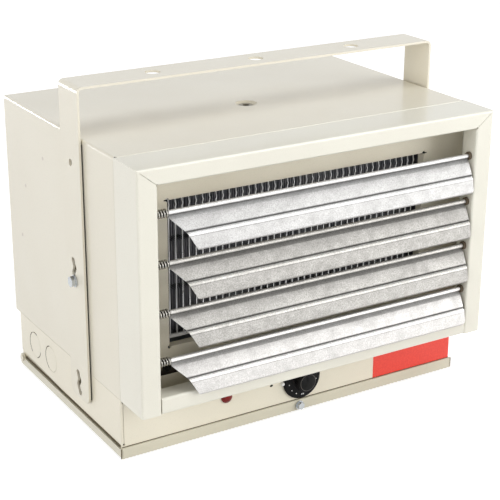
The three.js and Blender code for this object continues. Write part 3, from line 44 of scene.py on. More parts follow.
LOUVRE_Y = -112.0
LOUVRE_Z = [235.4, 191.0, 146.6, 102.2]
LOUVRE_BODIES = ["louvre_a", "louvre_b", "louvre_c", "louvre_d"]
HALF = 184.0                 # half the cabinet's width
TOP_Z = 278.0
BASE_FRONT_Y = -77.6
SHELL_REAR_Y = 158.8
PANEL_Y = -80.4
KNOB = (4.5, 32.3)
KNOB_FACE_Y = -80.8
HUB_FRONT_Y = -90.3
KNOCKOUTS = [(113.0, 35.0), (74.5, 35.0)]
ELEMENT_Y = -45.4
ELEMENT_Z = [211.6, 166.4, 121.2]
DISH_CENTRE = (0.0, 17.0)
DISH_FLOOR_Z = TOP_Z - 2.4

SIDES = (-1, 1)
LIFT = 0.02                  # gap that keeps a film or strip off the sheet under it


def mirrored(side, near, far):
    """The range from near to far on one side of the middle, lowest first."""
    return sorted((side * near, side * far))


# ---- node materials -----------------------------------------------------------------------------

def srgb(r, g, b):
    """Linear colour of an 8-bit screen colour."""
    def lin(c):
        c /= 255.0
        return c / 12.92 if c <= 0.04045 else ((c + 0.055) / 1.055) ** 2.4
    return (lin(r), lin(g), lin(b), 1.0)


def grey(level):
    return (level, level, level, 1.0)


class Nodes:
    """A material under construction."""

    SOCKETS = {"colour": "Base Color", "rough": "Roughness", "metal": "Metallic",
               "coat": "Coat Weight", "coat_rough": "Coat Roughness",
               "specular": "Specular IOR Level", "anisotropy": "Anisotropic"}

    def __init__(self, name):
        self.material = bpy.data.materials.new(name)
        self.material.use_nodes = True
        self.tree = self.material.node_tree
        self.tree.nodes.clear()
        self.out = self.add("ShaderNodeOutputMaterial")
        self.shader = self.add("ShaderNodeBsdfPrincipled")
        self.link(self.shader.outputs[0], self.out.inputs[0])
        self.coords = self.add("ShaderNodeTexCoord").outputs["Object"]

    def add(self, kind, **values):
        node = self.tree.nodes.new(kind)
        for key, value in values.items():
            setattr(node, key, value)
        return node

    def link(self, a, b):
        self.tree.links.new(a, b)

    def fill(self, socket, value):
        """Writes a constant into a socket, or links a node's output to it."""
        if isinstance(value, (int, float, tuple)):
            socket.default_value = value
        else:
            self.link(value, socket)

    def stretched(self, scale):
        mapping = self.add("ShaderNodeMapping")
        mapping.inputs["Scale"].default_value = scale
        self.link(self.coords, mapping.inputs[0])
        return mapping.outputs[0]

    def height(self):
        """Height above the part's origin, in metres."""
        place = self.add("ShaderNodeSeparateXYZ")
        self.link(self.coords, place.inputs[0])
        return place.outputs[2]

    def noise(self, scale, detail=3.0, rough=0.5, stretch=None):
        node = self.add("ShaderNodeTexNoise")
        node.inputs["Scale"].default_value = scale
        node.inputs["Detail"].default_value = detail
        node.inputs["Roughness"].default_value = rough
        self.link(self.stretched(stretch) if stretch else self.coords, node.inputs["Vector"])
        return node.outputs["Fac"]

    def rings(self, scale, vector):
        """Fine turned rings about the Y axis."""
        node = self.add("ShaderNodeTexWave", wave_type="RINGS", rings_direction="Y")
        node.inputs["Scale"].default_value = scale
        self.link(vector, node.inputs[0])
        return node.outputs["Fac"]

    def ramp(self, fac, stops):
        node = self.add("ShaderNodeValToRGB")
        elements = node.color_ramp.elements
        while len(elements) < len(stops):
            elements.new(0.5)
        for element, (place, colour) in zip(elements, stops):
            element.position = place
            element.color = colour
        self.link(fac, node.inputs[0])
        return node.outputs[0]

    def span(self, fac, low, high, start=0.3, end=0.7):
        """fac between start and end, mapped to low and high."""
        node = self.add("ShaderNodeMapRange")
        for key, value in (("From Min", start), ("From Max", end),
                           ("To Min", low), ("To Max", high)):
            node.inputs[key].default_value = value
        self.link(fac, node.inputs[0])
        return node.outputs[0]

    def mix(self, fac, a, b, blend="MIX"):
        node = self.add("ShaderNodeMix", data_type="RGBA", blend_type=blend)
        for socket, value in ((node.inputs[0], fac), (node.inputs[6], a), (node.inputs[7], b)):
            self.fill(socket, value)
        return node.outputs[2]

    def math(self, operation, a, b):
        node = self.add("ShaderNodeMath", operation=operation)
        for socket, value in zip(node.inputs, (a, b)):
            self.fill(socket, value)
        return node.outputs[0]

    def bump(self, height, strength, distance, below=None):
        node = self.add("ShaderNodeBump")
        node.inputs["Strength"].default_value = strength
        node.inputs["Distance"].default_value = distance
        self.link(height, node.inputs["Height"])
        if below is not None:
            self.link(below, node.inputs["Normal"])
        self.link(node.outputs[0], self.shader.inputs["Normal"])
        return node.outputs[0]

    def set(self, **values):
        for key, value in values.items():
            self.fill(self.shader.inputs[self.SOCKETS[key]], value)


GRIME = (0.30, 0.27, 0.20, 1.0)


def enamel(name, colour, shade, seed=0.0):
    """Baked enamel: faint orange peel, slow drift in tone, a few rubbed spots."""
    m = Nodes(name)
    drift = m.noise(scale=7.0 + seed, detail=2.0)
    speck = m.noise(scale=900.0, detail=2.0)
    tone = m.mix(m.span(drift, low=0.0, high=1.0), colour, shade)
    tone = m.mix(m.span(speck, low=0.0, high=0.10, start=0.55, end=0.8), tone, GRIME)
    rub = m.noise(scale=26.0, detail=5.0, rough=0.65)
    m.bump(m.noise(scale=1300.0, detail=2.0), strength=0.10, distance=0.0002)
    m.set(colour=tone, rough=m.span(rub, low=0.30, high=0.40), specular=0.5,
          coat=0.5, coat_rough=0.12)
    return m.material


def mill_finish(m, light, dark):
    """Mill finish: fine mottling, faint clouds of oxide and short rolling streaks."""
    fine = m.noise(scale=1000.0, detail=3.0, rough=0.7)
    cloud = m.noise(scale=90.0, detail=4.0, rough=0.6)
    streak = m.noise(scale=300.0, detail=3.0, rough=0.6, stretch=(0.15, 1.0, 1.0))
    tone = m.mix(m.span(fine, low=0.05, high=0.95, start=0.36, end=0.64), dark, light)
    tone = m.mix(m.span(cloud, low=0.0, high=0.35, start=0.45, end=0.72), tone, dark)
    tone = m.mix(m.span(streak, low=0.0, high=0.25, start=0.5, end=0.75), tone, light)
    rolled = m.bump(streak, strength=0.06, distance=0.0002)
    m.bump(fine, strength=0.14, distance=0.00018, below=rolled)
    m.set(colour=tone, rough=m.span(cloud, low=0.52, high=0.64), metal=1.0)
    return tone


def mill_aluminium(name, light, dark):
    m = Nodes(name)
    mill_finish(m, light, dark)
    return m.material


# Painted highlights and shade of a louvre by its drop below the pivot, from 0 at the bead's top to
# 1 at the lower edge.
PAINTED_LIGHT_TOP, PAINTED_LIGHT_FOOT = -3.0, 37.0
LOUVRE_PAINTED_LIGHT = (
    (0.000, 1.50), (0.095, 1.50),                 # bead
    (0.115, 0.44), (0.165, 0.50),                 # fold under the bead
    (0.215, 0.76), (0.300, 0.92), (0.450, 1.00),  # upper facet
    (0.474, 0.22), (0.503, 0.22),                 # crease
    (0.512, 1.50), (0.565, 1.50),                 # ridge
    (0.580, 0.62),                                # line under the ridge
    (0.600, 0.99), (0.940, 1.02), (1.000, 0.86),  # lower facet
)


def louvre_aluminium(name, z, light, dark):
    """Mill finish, with painted shade in the folds and a painted highlight on the bead and the
    ridge.
    """
    m = Nodes(name)
    tone = mill_finish(m, light, dark)
    drop = m.math("SUBTRACT", z * MM, m.height())
    place = m.span(drop, low=0.0, high=1.0, start=PAINTED_LIGHT_TOP * MM, end=PAINTED_LIGHT_FOOT * MM)
    # Painted highlight on the bead and the ridge, painted shade in the fold, the crease and under
    # the ridge.
    wear_and_painted_light = m.ramp(place, [(at, grey(level)) for at, level in LOUVRE_PAINTED_LIGHT])
    m.set(colour=m.mix(1.0, tone, wear_and_painted_light, "MULTIPLY"))
    return m.material


def steel(name, colour, rough, metal=0.9, fleck=0.35):
    """Bare or plated steel, flecked with a darker shade of its colour."""
    m = Nodes(name)
    shade = tuple(c * 0.62 for c in colour[:3]) + (1.0,)
    fine = m.noise(scale=600.0, detail=3.0, rough=0.6)
    soft = m.noise(scale=60.0, detail=4.0, rough=0.6)
    tone = m.mix(m.span(fine, low=0.0, high=fleck), colour, shade)
    tone = m.mix(m.span(soft, low=0.0, high=0.4), tone, shade)
    m.bump(fine, strength=0.08, distance=0.0002)
    m.set(colour=tone, rough=m.span(soft, low=rough - 0.06, high=rough + 0.08), metal=metal)
    return m.material


def plastic(name, colour, rough, grain=0.12, specular=0.5):
    """Moulded or dull matter with a fine grain and a little paler dust."""
    m = Nodes(name)
    dusty = tuple(min(1.0, c * 1.5 + 0.006) for c in colour[:3]) + (1.0,)
    dust = m.noise(scale=180.0, detail=5.0, rough=0.65)
    m.bump(m.noise(scale=1600.0, detail=2.0), strength=grain, distance=0.0002)
    m.set(colour=m.mix(m.span(dust, low=0.0, high=0.6, start=0.45, end=0.8), colour, dusty),
          rough=m.span(dust, low=rough - 0.04, high=rough + 0.08), specular=specular)
    return m.material


def dark_fins(name):
    """Oxidised fin sheet, blued by heat, with paler bare edges here and there."""
    m = Nodes(name)
    heat = m.noise(scale=30.0, detail=4.0, rough=0.6)
    grit = m.noise(scale=500.0, detail=3.0, rough=0.6)
    tone = m.ramp(heat, [(0.25, srgb(142, 142, 148)), (0.55, srgb(166, 166, 172)),
                         (0.8, srgb(186, 183, 180))])
    m.bump(grit, strength=0.12, distance=0.0002)
    m.set(colour=tone, rough=m.span(grit, low=0.42, high=0.62), metal=0.3)
    return m.material


# Heights in metres over which the painted shade at the panel's foot fades out.
FOOT_SHADE_Z = (0.0720, 0.0860)


def foot_shade(name):
    """Enamel with painted shade, darkening towards the panel's foot."""
    m = Nodes(name)
    ragged = m.span(m.noise(scale=120.0, detail=4.0), low=-0.0006, high=0.0006)
    height = m.math("ADD", m.height(), ragged)
    tone = m.ramp(m.span(height, low=0.0, high=1.0, start=FOOT_SHADE_Z[0], end=FOOT_SHADE_Z[1]), [
        (0.0, srgb(26, 22, 17)), (0.35, srgb(52, 46, 38)), (0.65, srgb(128, 118, 102)),
        (1.0, srgb(226, 221, 206))])
    m.set(colour=tone, rough=0.6, specular=0.2)
    return m.material


def lens_red(name):
    """Deep red lens with moulded rings."""
    m = Nodes(name)
    ribs = m.rings(scale=600.0, vector=m.coords)
    depth = m.noise(scale=220.0, detail=3.0)
    m.bump(ribs, strength=0.1, distance=0.0002)
    m.set(colour=m.mix(m.span(depth, low=0.0, high=1.0), srgb(134, 20, 12), srgb(104, 10, 8)),
          rough=0.3, specular=0.25)
    return m.material


def film_red(name):
    """Printed red film with an uneven gloss."""
    m = Nodes(name)
    ink = m.noise(scale=500.0, detail=3.0)
    wear_and_painted_light = m.noise(scale=40.0, detail=5.0)
    tone = m.mix(m.span(ink, low=0.0, high=1.0), srgb(240, 66, 46), srgb(228, 54, 38))
    m.bump(ink, strength=0.05, distance=0.0001)
    m.set(colour=tone, rough=m.span(wear_and_painted_light, low=0.30, high=0.42), coat=0.2, coat_rough=0.15)
    return m.material


def turned_black(name):
    """Dark spun disc: its rings draw the light out into a fan about the knob's axis."""
    m = Nodes(name)
    centred = m.add("ShaderNodeMapping")
    centred.inputs["Location"].default_value = (-KNOB[0] * MM, 0.0, -KNOB[1] * MM)
    m.link(m.coords, centred.inputs[0])
    rings = m.rings(scale=900.0, vector=centred.outputs[0])
    dust = m.noise(scale=300.0, detail=3.0)
    tangent = m.add("ShaderNodeTangent", direction_type="RADIAL", axis="Y")
    m.link(tangent.outputs[0], m.shader.inputs["Tangent"])
    m.bump(rings, strength=0.10, distance=0.00005)
    m.set(colour=m.mix(m.span(dust, low=0.0, high=0.3), srgb(30, 30, 30), srgb(44, 44, 43)),
          rough=0.28, metal=1.0, anisotropy=0.92)
    return m.material


CABINET = enamel("cabinet_enamel", srgb(230, 224, 207), srgb(225, 218, 200))
FRAME = enamel("frame_enamel", srgb(234, 231, 217), srgb(229, 225, 211), seed=1.7)
DOOR = enamel("door_enamel", srgb(216, 210, 189), srgb(209, 203, 182), seed=3.1)
# Same enamel as the cabinet, painted lighter to stand in for light that the base's front, shaded
# by the frame, lacks.
BASE = enamel("base_enamel_lightened", srgb(237, 230, 211), srgb(231, 224, 204), seed=2.7)
# Same enamel as the cabinet, painted lighter and warmer to stand in for light and warm bounce in
# the outlet panel's shaded recess.
PANEL = enamel("panel_enamel_lightened", srgb(242, 235, 215), srgb(236, 228, 207), seed=0.9)
SPOT = enamel("spot_enamel", srgb(208, 198, 184), srgb(202, 192, 178), seed=2.3)
# Each louvre gets its own lighter or darker tones, painting in how much light falls on it.
LOUVRE_LIT_TONES = [(srgb(194, 193, 192), srgb(158, 157, 155)),
                (srgb(178, 176, 172), srgb(134, 132, 128)),
                (srgb(182, 180, 176), srgb(138, 136, 132)),
                (srgb(207, 205, 203), srgb(170, 168, 165))]
LOUVRES = [louvre_aluminium(f"louvre_aluminium_{number}", z, light, dark)
           for number, (z, (light, dark)) in enumerate(zip(LOUVRE_Z, LOUVRE_LIT_TONES), 1)]
FAN = mill_aluminium("fan_aluminium", srgb(196, 196, 196), srgb(160, 160, 162))
FINS = dark_fins("element_fins")
SPRING = steel("spring_wire", srgb(176, 173, 166), 0.2)
# Dark steel for the sleeves that paint the shade between the spring coils.
PIN_SHADE = steel("pin_shade_dark", srgb(52, 49, 45), 0.5)
CLIP = steel("clip_steel", srgb(225, 225, 222), 0.25)
GALVANISED = steel("galvanised_sheet", srgb(172, 176, 178), 0.42, fleck=0.6)
GUARD = steel("guard_strip", srgb(253, 253, 251), 0.3, metal=0.6, fleck=0.04)
HEATED = steel("heat_dark_sheet", srgb(88, 88, 92), 0.5, metal=0.6)
TUBE = steel("element_tube", srgb(60, 58, 60), 0.5, metal=0.7)
ZINC = steel("zinc_plate", srgb(204, 208, 211), 0.22)
INSERT = steel("insert_steel", srgb(150, 146, 136), 0.36)
BRASS = steel("brass", srgb(190, 150, 80), 0.3)
MOTOR = plastic("motor_paint", srgb(38, 38, 42), 0.35)
# Dark colour for pads that paint the shade in the yoke's slots.
SLOT_PAD_SHADE = plastic("slot_shade_brown", srgb(92, 84, 70), 0.9, grain=0.4, specular=0.05)
KNOB_BLACK = plastic("knob_black", srgb(7, 6, 7), 0.5, specular=0.12)
RIM_GREY = plastic("rim_grey", srgb(78, 76, 72), 0.4, specular=0.3)
BLACK = plastic("black_moulding", srgb(30, 30, 33), 0.5)
# Dark rubber for the grommet, and for strips that paint the shade in the yoke's side gaps.
RUBBER_AND_GAP_SHADE = plastic("grommet_rubber_and_yoke_shade", srgb(26, 26, 22), 0.6, specular=0.2)
NYLON = plastic("bushing_nylon", srgb(92, 80, 64), 0.5, specular=0.3)
BEIGE = plastic("beige_moulding", srgb(205, 196, 168), 0.5)
MARK_WHITE = plastic("dial_white", srgb(232, 232, 230), 0.5)
# Dark colour that paints the shadow in the knockouts' punched slots.
KNOCKOUT_SHADOW = plastic("knockout_slot_shadow", srgb(84, 76, 62), 0.8, specular=0.1)
# Dark colour for films that paint the shade inside slits, slots and reliefs.
HOLE_SHADE = plastic("hole_shade_dark", srgb(36, 32, 27), 0.8, specular=0.1)
# Dark colour for strips that paint the shade in the gaps round the door's lip.
DOOR_GAP_SHADE = plastic("door_gap_shade_brown", srgb(92, 81, 64), 0.8, specular=0.1)
PILOT_RED = lens_red("pilot_red")
PATCH_RED = film_red("patch_red")
# Enamel with painted shade towards the outlet panel's foot.
FOOT_SHADE_ENAMEL = foot_shade("panel_foot_shade")
HUB_BLACK = turned_black("hub_cap_black")

LOOKS = {
    CABINET: ["cabinet_shell", "rear_panel", "inlet_guard", "yoke",
              "door_hinge_pin_left", "door_hinge_pin_right"],
    BASE: ["base_box", "knockout_1", "knockout_2"],
    DOOR: ["access_door"],
    PANEL: ["outlet_panel"],
    FRAME: ["front_frame", "frame_bottom_rail"],
    **{look: [f"louvre_{number}"] for number, look in enumerate(LOUVRES, 1)},
    SPRING: [f"louvre_spring_{number}" for number in range(1, 5)],
    GUARD: ["outlet_guard"],
    FINS: [f"heating_element_{number}" for number in range(1, 4)],
    HEATED: ["element_bracket_left", "element_bracket_right"],
    GALVANISED: ["fan_shroud", "motor_bracket", "base_deck"],
    FAN: ["fan_rotor"],
    MOTOR: ["fan_motor"],
    INSERT: ["top_insert"],
    ZINC: ["door_screw", "pivot_bolt_left", "pivot_bolt_right", "pivot_washer_left",
           "pivot_washer_right", "pivot_nut_left", "pivot_nut_right"],
    BRASS: ["ground_screw"],
    KNOB_BLACK: ["thermostat_knob"],
    BEIGE: ["thermostat_body"],
    PILOT_RED: ["pilot_lens"],
    BLACK: ["pilot_housing", "contactor", "terminal_block", "thermal_limit"],
}
for look, names in LOOKS.items():
    for name in names:
        NODES[name].data.materials.clear()
        NODES[name].data.materials.append(look)


def soften(names, width, angle):
    """Rounds CAD nodes' sharp edges for the light to catch, without touching their meshes."""
    for name in names:
        bevel = NODES[name].modifiers.new("soften", "BEVEL")
        bevel.width = width * MM
        bevel.segments = 2
        bevel.limit_method = "ANGLE"
        bevel.angle_limit = math.radians(angle)
        bevel.harden_normals = True
        bevel.use_clamp_overlap = True


soften(("cabinet_shell", "base_box", "access_door", "outlet_panel", "rear_panel"),
       width=0.25, angle=30.0)
soften(("front_frame", "frame_bottom_rail", "yoke"), width=0.4, angle=30.0)
soften([f"louvre_{number}" for number in range(1, 5)], width=0.3, angle=16.0)
soften(("thermostat_knob", "pivot_bolt_left", "pivot_bolt_right", "door_screw"),
       width=0.25, angle=28.0)

# ---- mesh helpers -------------------------------------------------------------------------------


def new_piece(name, mesh, look, body, smooth=40.0):
    """A piece that rides on a body; edges sharper than smooth degrees stay sharp."""
    piece = bpy.data.objects.new(name, mesh)
    bpy.context.scene.collection.objects.link(piece)
    mesh.materials.append(look)
    if smooth:
        mesh.shade_smooth()
        mesh.set_sharp_from_angle(angle=math.radians(smooth))
    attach(piece, body)
    return piece


def mesh_from(name, bm):
    bmesh.ops.remove_doubles(bm, verts=bm.verts, dist=1e-7)
    bmesh.ops.recalc_face_normals(bm, faces=bm.faces)
    mesh = bpy.data.meshes.new(name)
    bm.to_mesh(mesh)
    bm.free()
    return mesh


BOX_FACES = ((0, 1, 3, 2), (4, 6, 7, 5), (0, 4, 5, 1), (2, 3, 7, 6), (0, 2, 6, 4), (1, 5, 7, 3))


def add_box(bm, x, y, z):
    """A bar or strip between two values along each axis."""
    corners = [bm.verts.new(Vector((a, b, c)) * MM) for a in x for b in y for c in z]
    for face in BOX_FACES:
        bm.faces.new([corners[i] for i in face])


def add_tube(bm, points, radius, sides):
    """A round wire through the points, closed at both ends."""
    points = [Vector(p) for p in points]
    normal = None
    rings = []
    for i, point in enumerate(points):
        a = points[max(i - 1, 0)]
        b = points[min(i + 1, len(points) - 1)]
        tangent = (b - a).normalized()
        if normal is None:
            helper = Vector((0, 0, 1)) if abs(tangent.z) < 0.9 else Vector((1, 0, 0))
            normal = tangent.cross(helper).normalized()
        normal = (normal - tangent * normal.dot(tangent)).normalized()
        across = tangent.cross(normal)
        rings.append([bm.verts.new((point + radius * (
            normal * math.cos(2 * math.pi * k / sides) + across * math.sin(2 * math.pi * k / sides)
        )) * MM) for k in range(sides)])
    for one, two in zip(rings, rings[1:]):
        for k in range(sides):
            bm.faces.new((one[k], one[(k + 1) % sides], two[(k + 1) % sides], two[k]))
    bm.faces.new(rings[0][::-1])
    bm.faces.new(rings[-1])


# A point from a centre c, two offsets u and v across an axis, and a place w along it.
PLACES = {
    "X": lambda c, u, v, w: (w, c[0] + u, c[1] + v),
    "Y": lambda c, u, v, w: (c[0] + u, w, c[1] + v),
    "Z": lambda c, u, v, w: (c[0] + u, c[1] + v, w),
}


def turned(bm, axis, profile, centre, sides, start=0.0, end=360.0):
    """A body turned about a line along an axis; profile is (radius, place along the axis)."""
    place = PLACES[axis]
    full = end - start >= 359.9
    count = sides if full else sides + 1
    rings = []
    for radius, along in profile:
        if radius < 1e-6 and full:
            rings.append([bm.verts.new(Vector(place(centre, 0.0, 0.0, along)) * MM)])
            continue
        ring = []
        for k in range(count):
            angle = math.radians(start + (end - start) * k / sides)
            ring.append(bm.verts.new(Vector(place(
                centre, radius * math.cos(angle), radius * math.sin(angle), along)) * MM))
        rings.append(ring)
    for one, two in zip(rings, rings[1:]):
        for k in range(sides):
            corners = []
            for v in (one[k % len(one)], one[(k + 1) % len(one)],
                      two[(k + 1) % len(two)], two[k % len(two)]):
                if v not in corners:
                    corners.append(v)
            if len(corners) > 2:
                bm.faces.new(corners)
    if not full:
        for k in (0, -1):
            loop = [ring[k] for ring in rings]
            if (loop[0].co - loop[-1].co).length < 1e-9:
                loop = loop[:-1]
            bm.faces.new(loop)


def outline_prism(bm, axis, outline, low, high):
    """An outline pushed along an axis."""
    place = PLACES[axis]
    rings = [[bm.verts.new(Vector(place((0.0, 0.0), u, v, along)) * MM) for u, v in outline]
             for along in (low, high)]
    count = len(outline)
    for k in range(count):
        bm.faces.new((rings[0][k], rings[0][(k + 1) % count],
                      rings[1][(k + 1) % count], rings[1][k]))
    bm.faces.new(rings[0])
    bm.faces.new(rings[1][::-1])


# ---- louvre springs -----------------------------------------------------------------------------

SPRING_START, SPRING_END = -164.9, -152.5
SPRING_LEAD = 1.1            # straight wire before the first coil and after the last
SPRING_COILS, COIL_STEPS = 4, 30
COIL_RADIUS, WIRE_RADIUS = 3.2, 0.72


def spring(number, z):
    """The same wire as in the part, wound with more steps and with short straight ends."""
    points = []
    total = SPRING_COILS * COIL_STEPS
    for k in range(total + 1):
        angle = -math.pi / 2 + 2 * math.pi * k / COIL_STEPS
        x = SPRING_START + SPRING_LEAD + (SPRING_END - SPRING_START - 2 * SPRING_LEAD) * k / total
        points.append((x, LOUVRE_Y + COIL_RADIUS * math.cos(angle),
                       z + COIL_RADIUS * math.sin(angle)))
    points = [(SPRING_START, points[0][1], points[0][2])] + points
    points.append((SPRING_END, points[-1][1], points[-1][2]))
    bm = bmesh.new()
    add_tube(bm, points, WIRE_RADIUS, 12)
    piece = new_piece(f"spring_{number}", mesh_from("spring", bm), SPRING, "cabinet")
    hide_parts(f"louvre_spring_{number}")


# ---- outlet guard and heating elements ----------------------------------------------------------

GUARD_Y = (-71.9, -69.7)
GUARD_Z = (104.0, 233.0)
GUARD_SIDE = (135.6, 138.6)
RAIL_HALF = 1.5
STRIP_COUNT, STRIP_PITCH = 40, 6.7
STRIP_HALF = 0.42
STRIP_Y = (-71.9, -71.3)
STRIP_LEAN = 0.35            # the most that a strip leans off its line
# Share of the lean and height of a strip's lower bends, then shift and height of its kink.
STRIP_BENDS = ((0.0, GUARD_Z[0]), (0.3, 150.0), (-0.2, 200.0))
STRIP_KINK = ((0.0, 223.6), (0.55, 225.0), (0.75, 226.4), (0.1, 228.4), (-0.25, GUARD_Z[1]))


def add_strip(bm, path):
    """A thin strip that follows a path of (x, z) places."""
    for ends in zip(path, path[1:]):
        corners = []
        for px, pz in ends:
            for dx, y in ((-STRIP_HALF, STRIP_Y[0]), (STRIP_HALF, STRIP_Y[0]),
                          (STRIP_HALF, STRIP_Y[1]), (-STRIP_HALF, STRIP_Y[1])):
                corners.append(bm.verts.new(Vector((px + dx, y, pz)) * MM))
        for side in range(4):
            bm.faces.new((corners[side], corners[(side + 1) % 4],
                          corners[4 + (side + 1) % 4], corners[4 + side]))


def guard():
    """Thin upright strips, each with a small kink near its top, in a frame of four rails."""
    bm = bmesh.new()
    for k in range(STRIP_COUNT):
        x = (k - (STRIP_COUNT - 1) / 2) * STRIP_PITCH
        lean = STRIP_LEAN * math.sin(k * 2.3)
        add_strip(bm, [(x + lean * share, z) for share, z in STRIP_BENDS]
                  + [(x + shift, z) for shift, z in STRIP_KINK])
    for z in GUARD_Z:
        add_box(bm, (-GUARD_SIDE[1], GUARD_SIDE[1]), GUARD_Y, (z - RAIL_HALF, z + RAIL_HALF))
    piece = new_piece("guard_strips", mesh_from("guard", bm), GUARD, "cabinet")
    bm = bmesh.new()
    for side in SIDES:
        add_box(bm, mirrored(side, *GUARD_SIDE), GUARD_Y, GUARD_Z)
    new_piece("guard_side_rails", mesh_from("rails", bm), HEATED, "cabinet")
    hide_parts("outlet_guard")


FIN_COUNT, FIN_PITCH = 119, 2.4
FIN_HALF = (0.2, 12, 20)     # half a fin's thickness, depth and height
FIN_LEAN = 0.25
TUBE_PROFILE = [(0, -158), (4.0, -158), (4.4, -157.4), (4.4, 157.4), (4.0, 158), (0, 158)]
TERMINAL_PROFILE = [(0, 157), (2, 157), (2, 167.5), (1.6, 168), (0, 168)]


def element(number, z):
    """A sheathed tube with terminal pins, crimped through closely stacked fins."""
    bm = bmesh.new()
    for k in range(FIN_COUNT):
        x = (k - (FIN_COUNT - 1) / 2) * FIN_PITCH
        lean = FIN_LEAN * math.sin(k * 1.7 + number)
        add_box(bm, (x + lean - FIN_HALF[0], x + lean + FIN_HALF[0]),
                (ELEMENT_Y - FIN_HALF[1], ELEMENT_Y + FIN_HALF[1]),
                (z - FIN_HALF[2], z + FIN_HALF[2]))
    piece = new_piece(f"element_fins_{number}", mesh_from("fins", bm), FINS, "cabinet",
                      smooth=0)
    bm = bmesh.new()
    turned(bm, "X", TUBE_PROFILE, (ELEMENT_Y, z), 24)
    for side in SIDES:
        turned(bm, "X", [(radius, side * along) for radius, along in TERMINAL_PROFILE],
               (ELEMENT_Y, z), 16)
    new_piece(f"element_tube_{number}", mesh_from("tube", bm), TUBE, "cabinet")
    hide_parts(f"heating_element_{number}")


# ---- dial and patch -----------------------------------------------------------------------------

DOT_ANGLES = (-128, -103, -78, -52, -27, 27, 52, 78, 103, 128)
DOT_CIRCLE = 15.2
DOT_PROFILE = [(0, KNOB_FACE_Y), (0.62, KNOB_FACE_Y), (0.54, KNOB_FACE_Y - 0.25),
               (0, KNOB_FACE_Y - 0.3)]
NUMERAL_X, NUMERAL_DROP = 0.85, 15.6
NUMERAL_PROFILE = [(0.3, KNOB_FACE_Y), (0.78, KNOB_FACE_Y), (0.7, KNOB_FACE_Y - 0.25),
                   (0.35, KNOB_FACE_Y - 0.25), (0.3, KNOB_FACE_Y)]


def dial_marks():
    """Dots round the dial, and a pair of rings for the figure at its foot."""
    bm = bmesh.new()
    for degrees in DOT_ANGLES:
        angle = math.radians(degrees)
        centre = (KNOB[0] - DOT_CIRCLE * math.sin(angle), KNOB[1] - DOT_CIRCLE * math.cos(angle))
        turned(bm, "Y", DOT_PROFILE, centre, 14)
    for x in (-NUMERAL_X, NUMERAL_X):
        turned(bm, "Y", NUMERAL_PROFILE, (KNOB[0] + x, KNOB[1] - NUMERAL_DROP), 16)
    new_piece("dial_marks", mesh_from("marks", bm), MARK_WHITE, "knob")


CAP_RADIUS, RIM_RADIUS = 8.0, 8.5


def hub_cap():
    """Spun metal-look disc let into the knob's front, with a thin grey rim."""
    bm = bmesh.new()
    turned(bm, "Y", [(0, HUB_FRONT_Y + 0.2), (CAP_RADIUS, HUB_FRONT_Y + 0.2),
                     (CAP_RADIUS, HUB_FRONT_Y - 0.1), (CAP_RADIUS - 0.3, HUB_FRONT_Y - 0.25),
                     (0, HUB_FRONT_Y - 0.2)], KNOB, 48)
    new_piece("hub_cap", mesh_from("cap", bm), HUB_BLACK, "knob")
    bm = bmesh.new()
    turned(bm, "Y", [(CAP_RADIUS, HUB_FRONT_Y + 0.1), (RIM_RADIUS, HUB_FRONT_Y + 0.1),
                     (RIM_RADIUS - 0.05, HUB_FRONT_Y - 0.2),
                     (CAP_RADIUS + 0.05, HUB_FRONT_Y - 0.2),
                     (CAP_RADIUS, HUB_FRONT_Y + 0.1)], KNOB, 48)
    new_piece("hub_rim", mesh_from("rim", bm), RIM_GREY, "knob")


PATCH_LEFT, PATCH_TURN = 89.0, 182.0    # the film's left end, and where the corner begins
PATCH_Z = (10.8, 50.0)
CORNER_RADIUS = 2.0
FILM_THICK = 0.16


def red_patch():
    """A plain red film on the base front, turned a little way round the corner."""
    def corner(radius, steps):
        return [(PATCH_TURN + radius * math.cos(math.radians(-90 + 15 * k)),
                 BASE_FRONT_Y + CORNER_RADIUS + radius * math.sin(math.radians(-90 + 15 * k)))
                for k in steps]
    outline = ([(PATCH_LEFT, BASE_FRONT_Y - FILM_THICK), (PATCH_TURN, BASE_FRONT_Y - FILM_THICK)]
               + corner(CORNER_RADIUS + FILM_THICK, range(1, 6))
               + corner(CORNER_RADIUS + LIFT, range(5, 0, -1))
               + [(PATCH_TURN, BASE_FRONT_Y - LIFT), (PATCH_LEFT, BASE_FRONT_Y - LIFT)])
    bm = bmesh.new()
    outline_prism(bm, "Z", outline, *PATCH_Z)
    new_piece("red_patch", mesh_from("patch", bm), PATCH_RED, "cabinet")


# ---- louvre pins --------------------------------------------------------------------------------

BUSHING_PROFILE = [(2.2, 162.4), (3.5, 162.4), (3.8, 162.8), (3.8, 165.1), (2.2, 165.1),
                   (2.2, 162.4)]
SLEEVE_PROFILE = [(1.42, -164.8), (2.1, -164.8), (2.1, -152.9), (1.42, -152.9), (1.42, -164.8)]


def bushings():
    """Nylon bushings at the louvres' right pins."""
    for number, z in enumerate(LOUVRE_Z, 1):
        bm = bmesh.new()
        turned(bm, "X", BUSHING_PROFILE, (LOUVRE_Y, z), 28)
        new_piece(f"bushing_{number}", mesh_from("bushing", bm), NYLON, "cabinet")


def pin_shade_sleeves():
    """Dark sleeves on the pins' ends, painted shade seen between the coils."""
    for number, (z, body) in enumerate(zip(LOUVRE_Z, LOUVRE_BODIES), 1):
        bm = bmesh.new()
        turned(bm, "X", SLEEVE_PROFILE, (LOUVRE_Y, z), 24)
        new_piece(f"pin_sleeve_{number}", mesh_from("sleeve", bm), PIN_SHADE, body)


# ---- seals, seams and slits ---------------------------------------------------------------------

